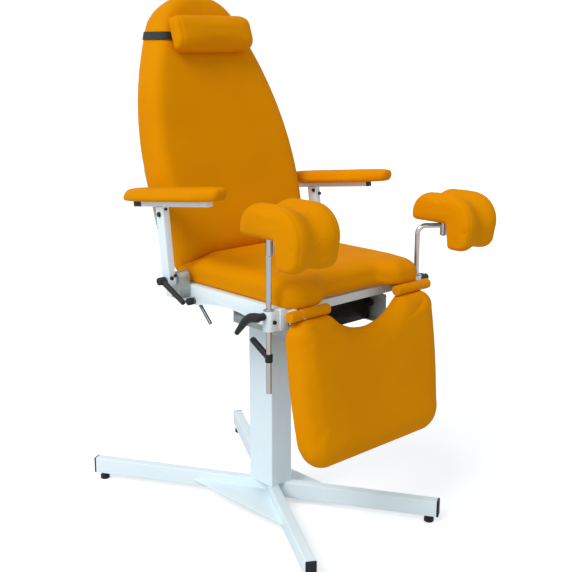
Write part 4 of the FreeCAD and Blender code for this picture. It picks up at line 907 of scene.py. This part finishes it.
# %% Ribbed grips
GRIP_HEIGHTS = {"right": (-1, 594), "left": (1, 552)}
GRIP_RISE = 30
GRIP_WAY = Vector((0, math.cos(math.radians(GRIP_RISE)), math.sin(math.radians(GRIP_RISE))))
GRIP_REACHES, GRIP_RADII = (0, 20, 40, 58, 74), (8.6, 7.8, 8, 7.8, 7.4)
COLLAR = {"radius": 10 * MM, "depth": 22 * MM}
RIB_COUNT, FIRST_RIB, RIB_STEP = 9, 19, 6.2
RIB = {"major_radius": 7.6 * MM, "minor_radius": 1.2 * MM, "major_segments": 32, "minor_segments": 10}
rib_turn = (math.radians(GRIP_RISE - 90), 0, 0)
for side, (sign, height) in GRIP_HEIGHTS.items():
    rod = Vector((sign * HOLDER_OUT, HOLDER_Y, height))
    bpy.ops.object.select_all(action="DESELECT")
    bpy.ops.mesh.primitive_cylinder_add(vertices=48, location=rod * MM, **COLLAR)
    bpy.ops.object.transform_apply(location=True, rotation=True, scale=True)
    collar = bpy.context.object
    apply_modifier(collar, "BEVEL", width=2 * MM, segments=3, **ROUND_RIM)
    pieces = [collar, drawn_arm([rod + GRIP_WAY * reach for reach in GRIP_REACHES], GRIP_RADII)]
    for count in range(RIB_COUNT):
        ring = rod + GRIP_WAY * (FIRST_RIB + count * RIB_STEP)
        bpy.ops.object.select_all(action="DESELECT")
        bpy.ops.mesh.primitive_torus_add(location=ring * MM, rotation=rib_turn, **RIB)
        bpy.ops.object.transform_apply(location=True, rotation=True, scale=True)
        pieces.append(bpy.context.object)
    grip = f"{side}_holder_grip"
    mould(grip + "_moulding", pieces, f"{side}_holder", 0.8, grip)

# %% [markdown]
# ## Release knob
# The back's release rod turns in the rail behind a black knob with a dished face. It is a moulding of
# its own, pushed over the end of the shaft, so it moves with the lever.

# %% Knob
knob = turned_hub((-275.5, 22, 676), radius_mm=11.5, length_mm=19)
mould("back_release_knob", [knob], "back_release_lever", 0.8, None)

# %% [markdown]
# ## Sleeve on the bar
# The rear end of the near armrest's bar is pushed into a black sleeve, which shows under the pad. It is
# a moulded box with rounded edges and a sunk end, tilted with the bar.

# %% Sleeve
SLEEVE_PLACE, SLEEVE_SIZE = Vector((-320, 179, 933.5)), (24.6, 38, 16.6)
tilt = (math.radians(-ARM_LEAN), 0, 0)
bpy.ops.object.select_all(action="DESELECT")
bpy.ops.mesh.primitive_cube_add(size=MM, location=SLEEVE_PLACE * MM, rotation=tilt)
sleeve = bpy.context.object
sleeve.name = "right_bar_sleeve"
sleeve.scale = SLEEVE_SIZE
bpy.ops.object.transform_apply(location=True, rotation=True, scale=True)
for face in sleeve.data.polygons:
    face.select = face.normal.y > 0.9
bpy.ops.object.mode_set(mode="EDIT")
bpy.ops.mesh.select_mode(type="FACE")
bpy.ops.mesh.inset(thickness=2.4 * MM, depth=0)
bpy.ops.mesh.inset(thickness=0.4 * MM, depth=-1.4 * MM)
bpy.ops.object.mode_set(mode="OBJECT")
apply_modifier(sleeve, "BEVEL", width=1.2 * MM, segments=3, **ROUND_RIM)
bpy.ops.object.shade_smooth_by_angle(angle=SMOOTH_ANGLE)
dress(sleeve, "right_armrest", "black_plastic")
print(sleeve.name, len(sleeve.data.polygons), "faces")

# %% [markdown]
# ## Bolts
# The frame is bolted together with socket screws. One is modelled standing on its seat, with a rounded
# rim and a round socket; the others are copies of it, turned to where their heads point and scaled to
# the thread.


# %% Socket screws
bpy.ops.object.select_all(action="DESELECT")
bpy.ops.mesh.primitive_cylinder_add(vertices=32, radius=1, depth=1.2, location=(0, 0, 0.6))
screw_head = bpy.context.object
bpy.ops.object.transform_apply(location=True, rotation=True, scale=True)
apply_modifier(screw_head, "BEVEL", width=0.16, segments=3, **ROUND_RIM)
bpy.ops.object.mode_set(mode="EDIT")
bpy.ops.mesh.select_all(action="DESELECT")
bpy.ops.object.mode_set(mode="OBJECT")
for face in screw_head.data.polygons:
    face.select = face.normal.z > 0.99
bpy.ops.object.mode_set(mode="EDIT")
bpy.ops.mesh.inset(thickness=0.3, depth=0)
bpy.ops.mesh.inset(thickness=0.03, depth=-0.6)
bpy.ops.object.mode_set(mode="OBJECT")
bpy.ops.object.shade_smooth_by_angle(angle=SMOOTH_ANGLE)


def set_screw(name, body, place_mm, way, radius_mm):
    """A copy of the screw on a place, with its head pointing a way."""
    screw = bpy.data.objects.new(name, screw_head.data.copy())
    scene.collection.objects.link(screw)
    turn = Vector(way).to_track_quat("Z", "Y").to_matrix().to_4x4()
    place = Matrix.Translation(Vector(place_mm) * MM)
    screw.data.transform(place @ turn @ Matrix.Scale(radius_mm * MM, 4))
    dress(screw, body, "black_plastic")


FORWARDS, INWARDS = (0, -1, 0), (-1, 0, 0)
SCREWS = [
    ("right_post_screw_a", "right_armrest", (-325, 38.4, 747), FORWARDS, 5),
    ("right_post_screw_b", "right_armrest", (-313, 38.4, 752), FORWARDS, 4),
    ("left_post_screw_a", "left_armrest", (316, 108.4, 748), FORWARDS, 3.6),
    ("left_post_screw_b", "left_armrest", (326, 108.4, 752), FORWARDS, 3.6),
    ("right_bar_screw", "right_armrest", (-322, 60.4, 933), FORWARDS, 4),
    ("left_bar_screw_a", "left_armrest", (309.2, 133, 913), INWARDS, 5),
    ("left_bar_screw_b", "left_armrest", (325, 126.8, 902), FORWARDS, 5),
    ("right_clamp_screw", "chair", (-281, -326, 690), FORWARDS, 5),
    ("left_clamp_screw", "chair", (281, -326, 690), FORWARDS, 5),
]
for name, body, place, way, radius in SCREWS:
    set_screw(name, body, place, way, radius)
print("screws", len(SCREWS))
bpy.data.objects.remove(screw_head)
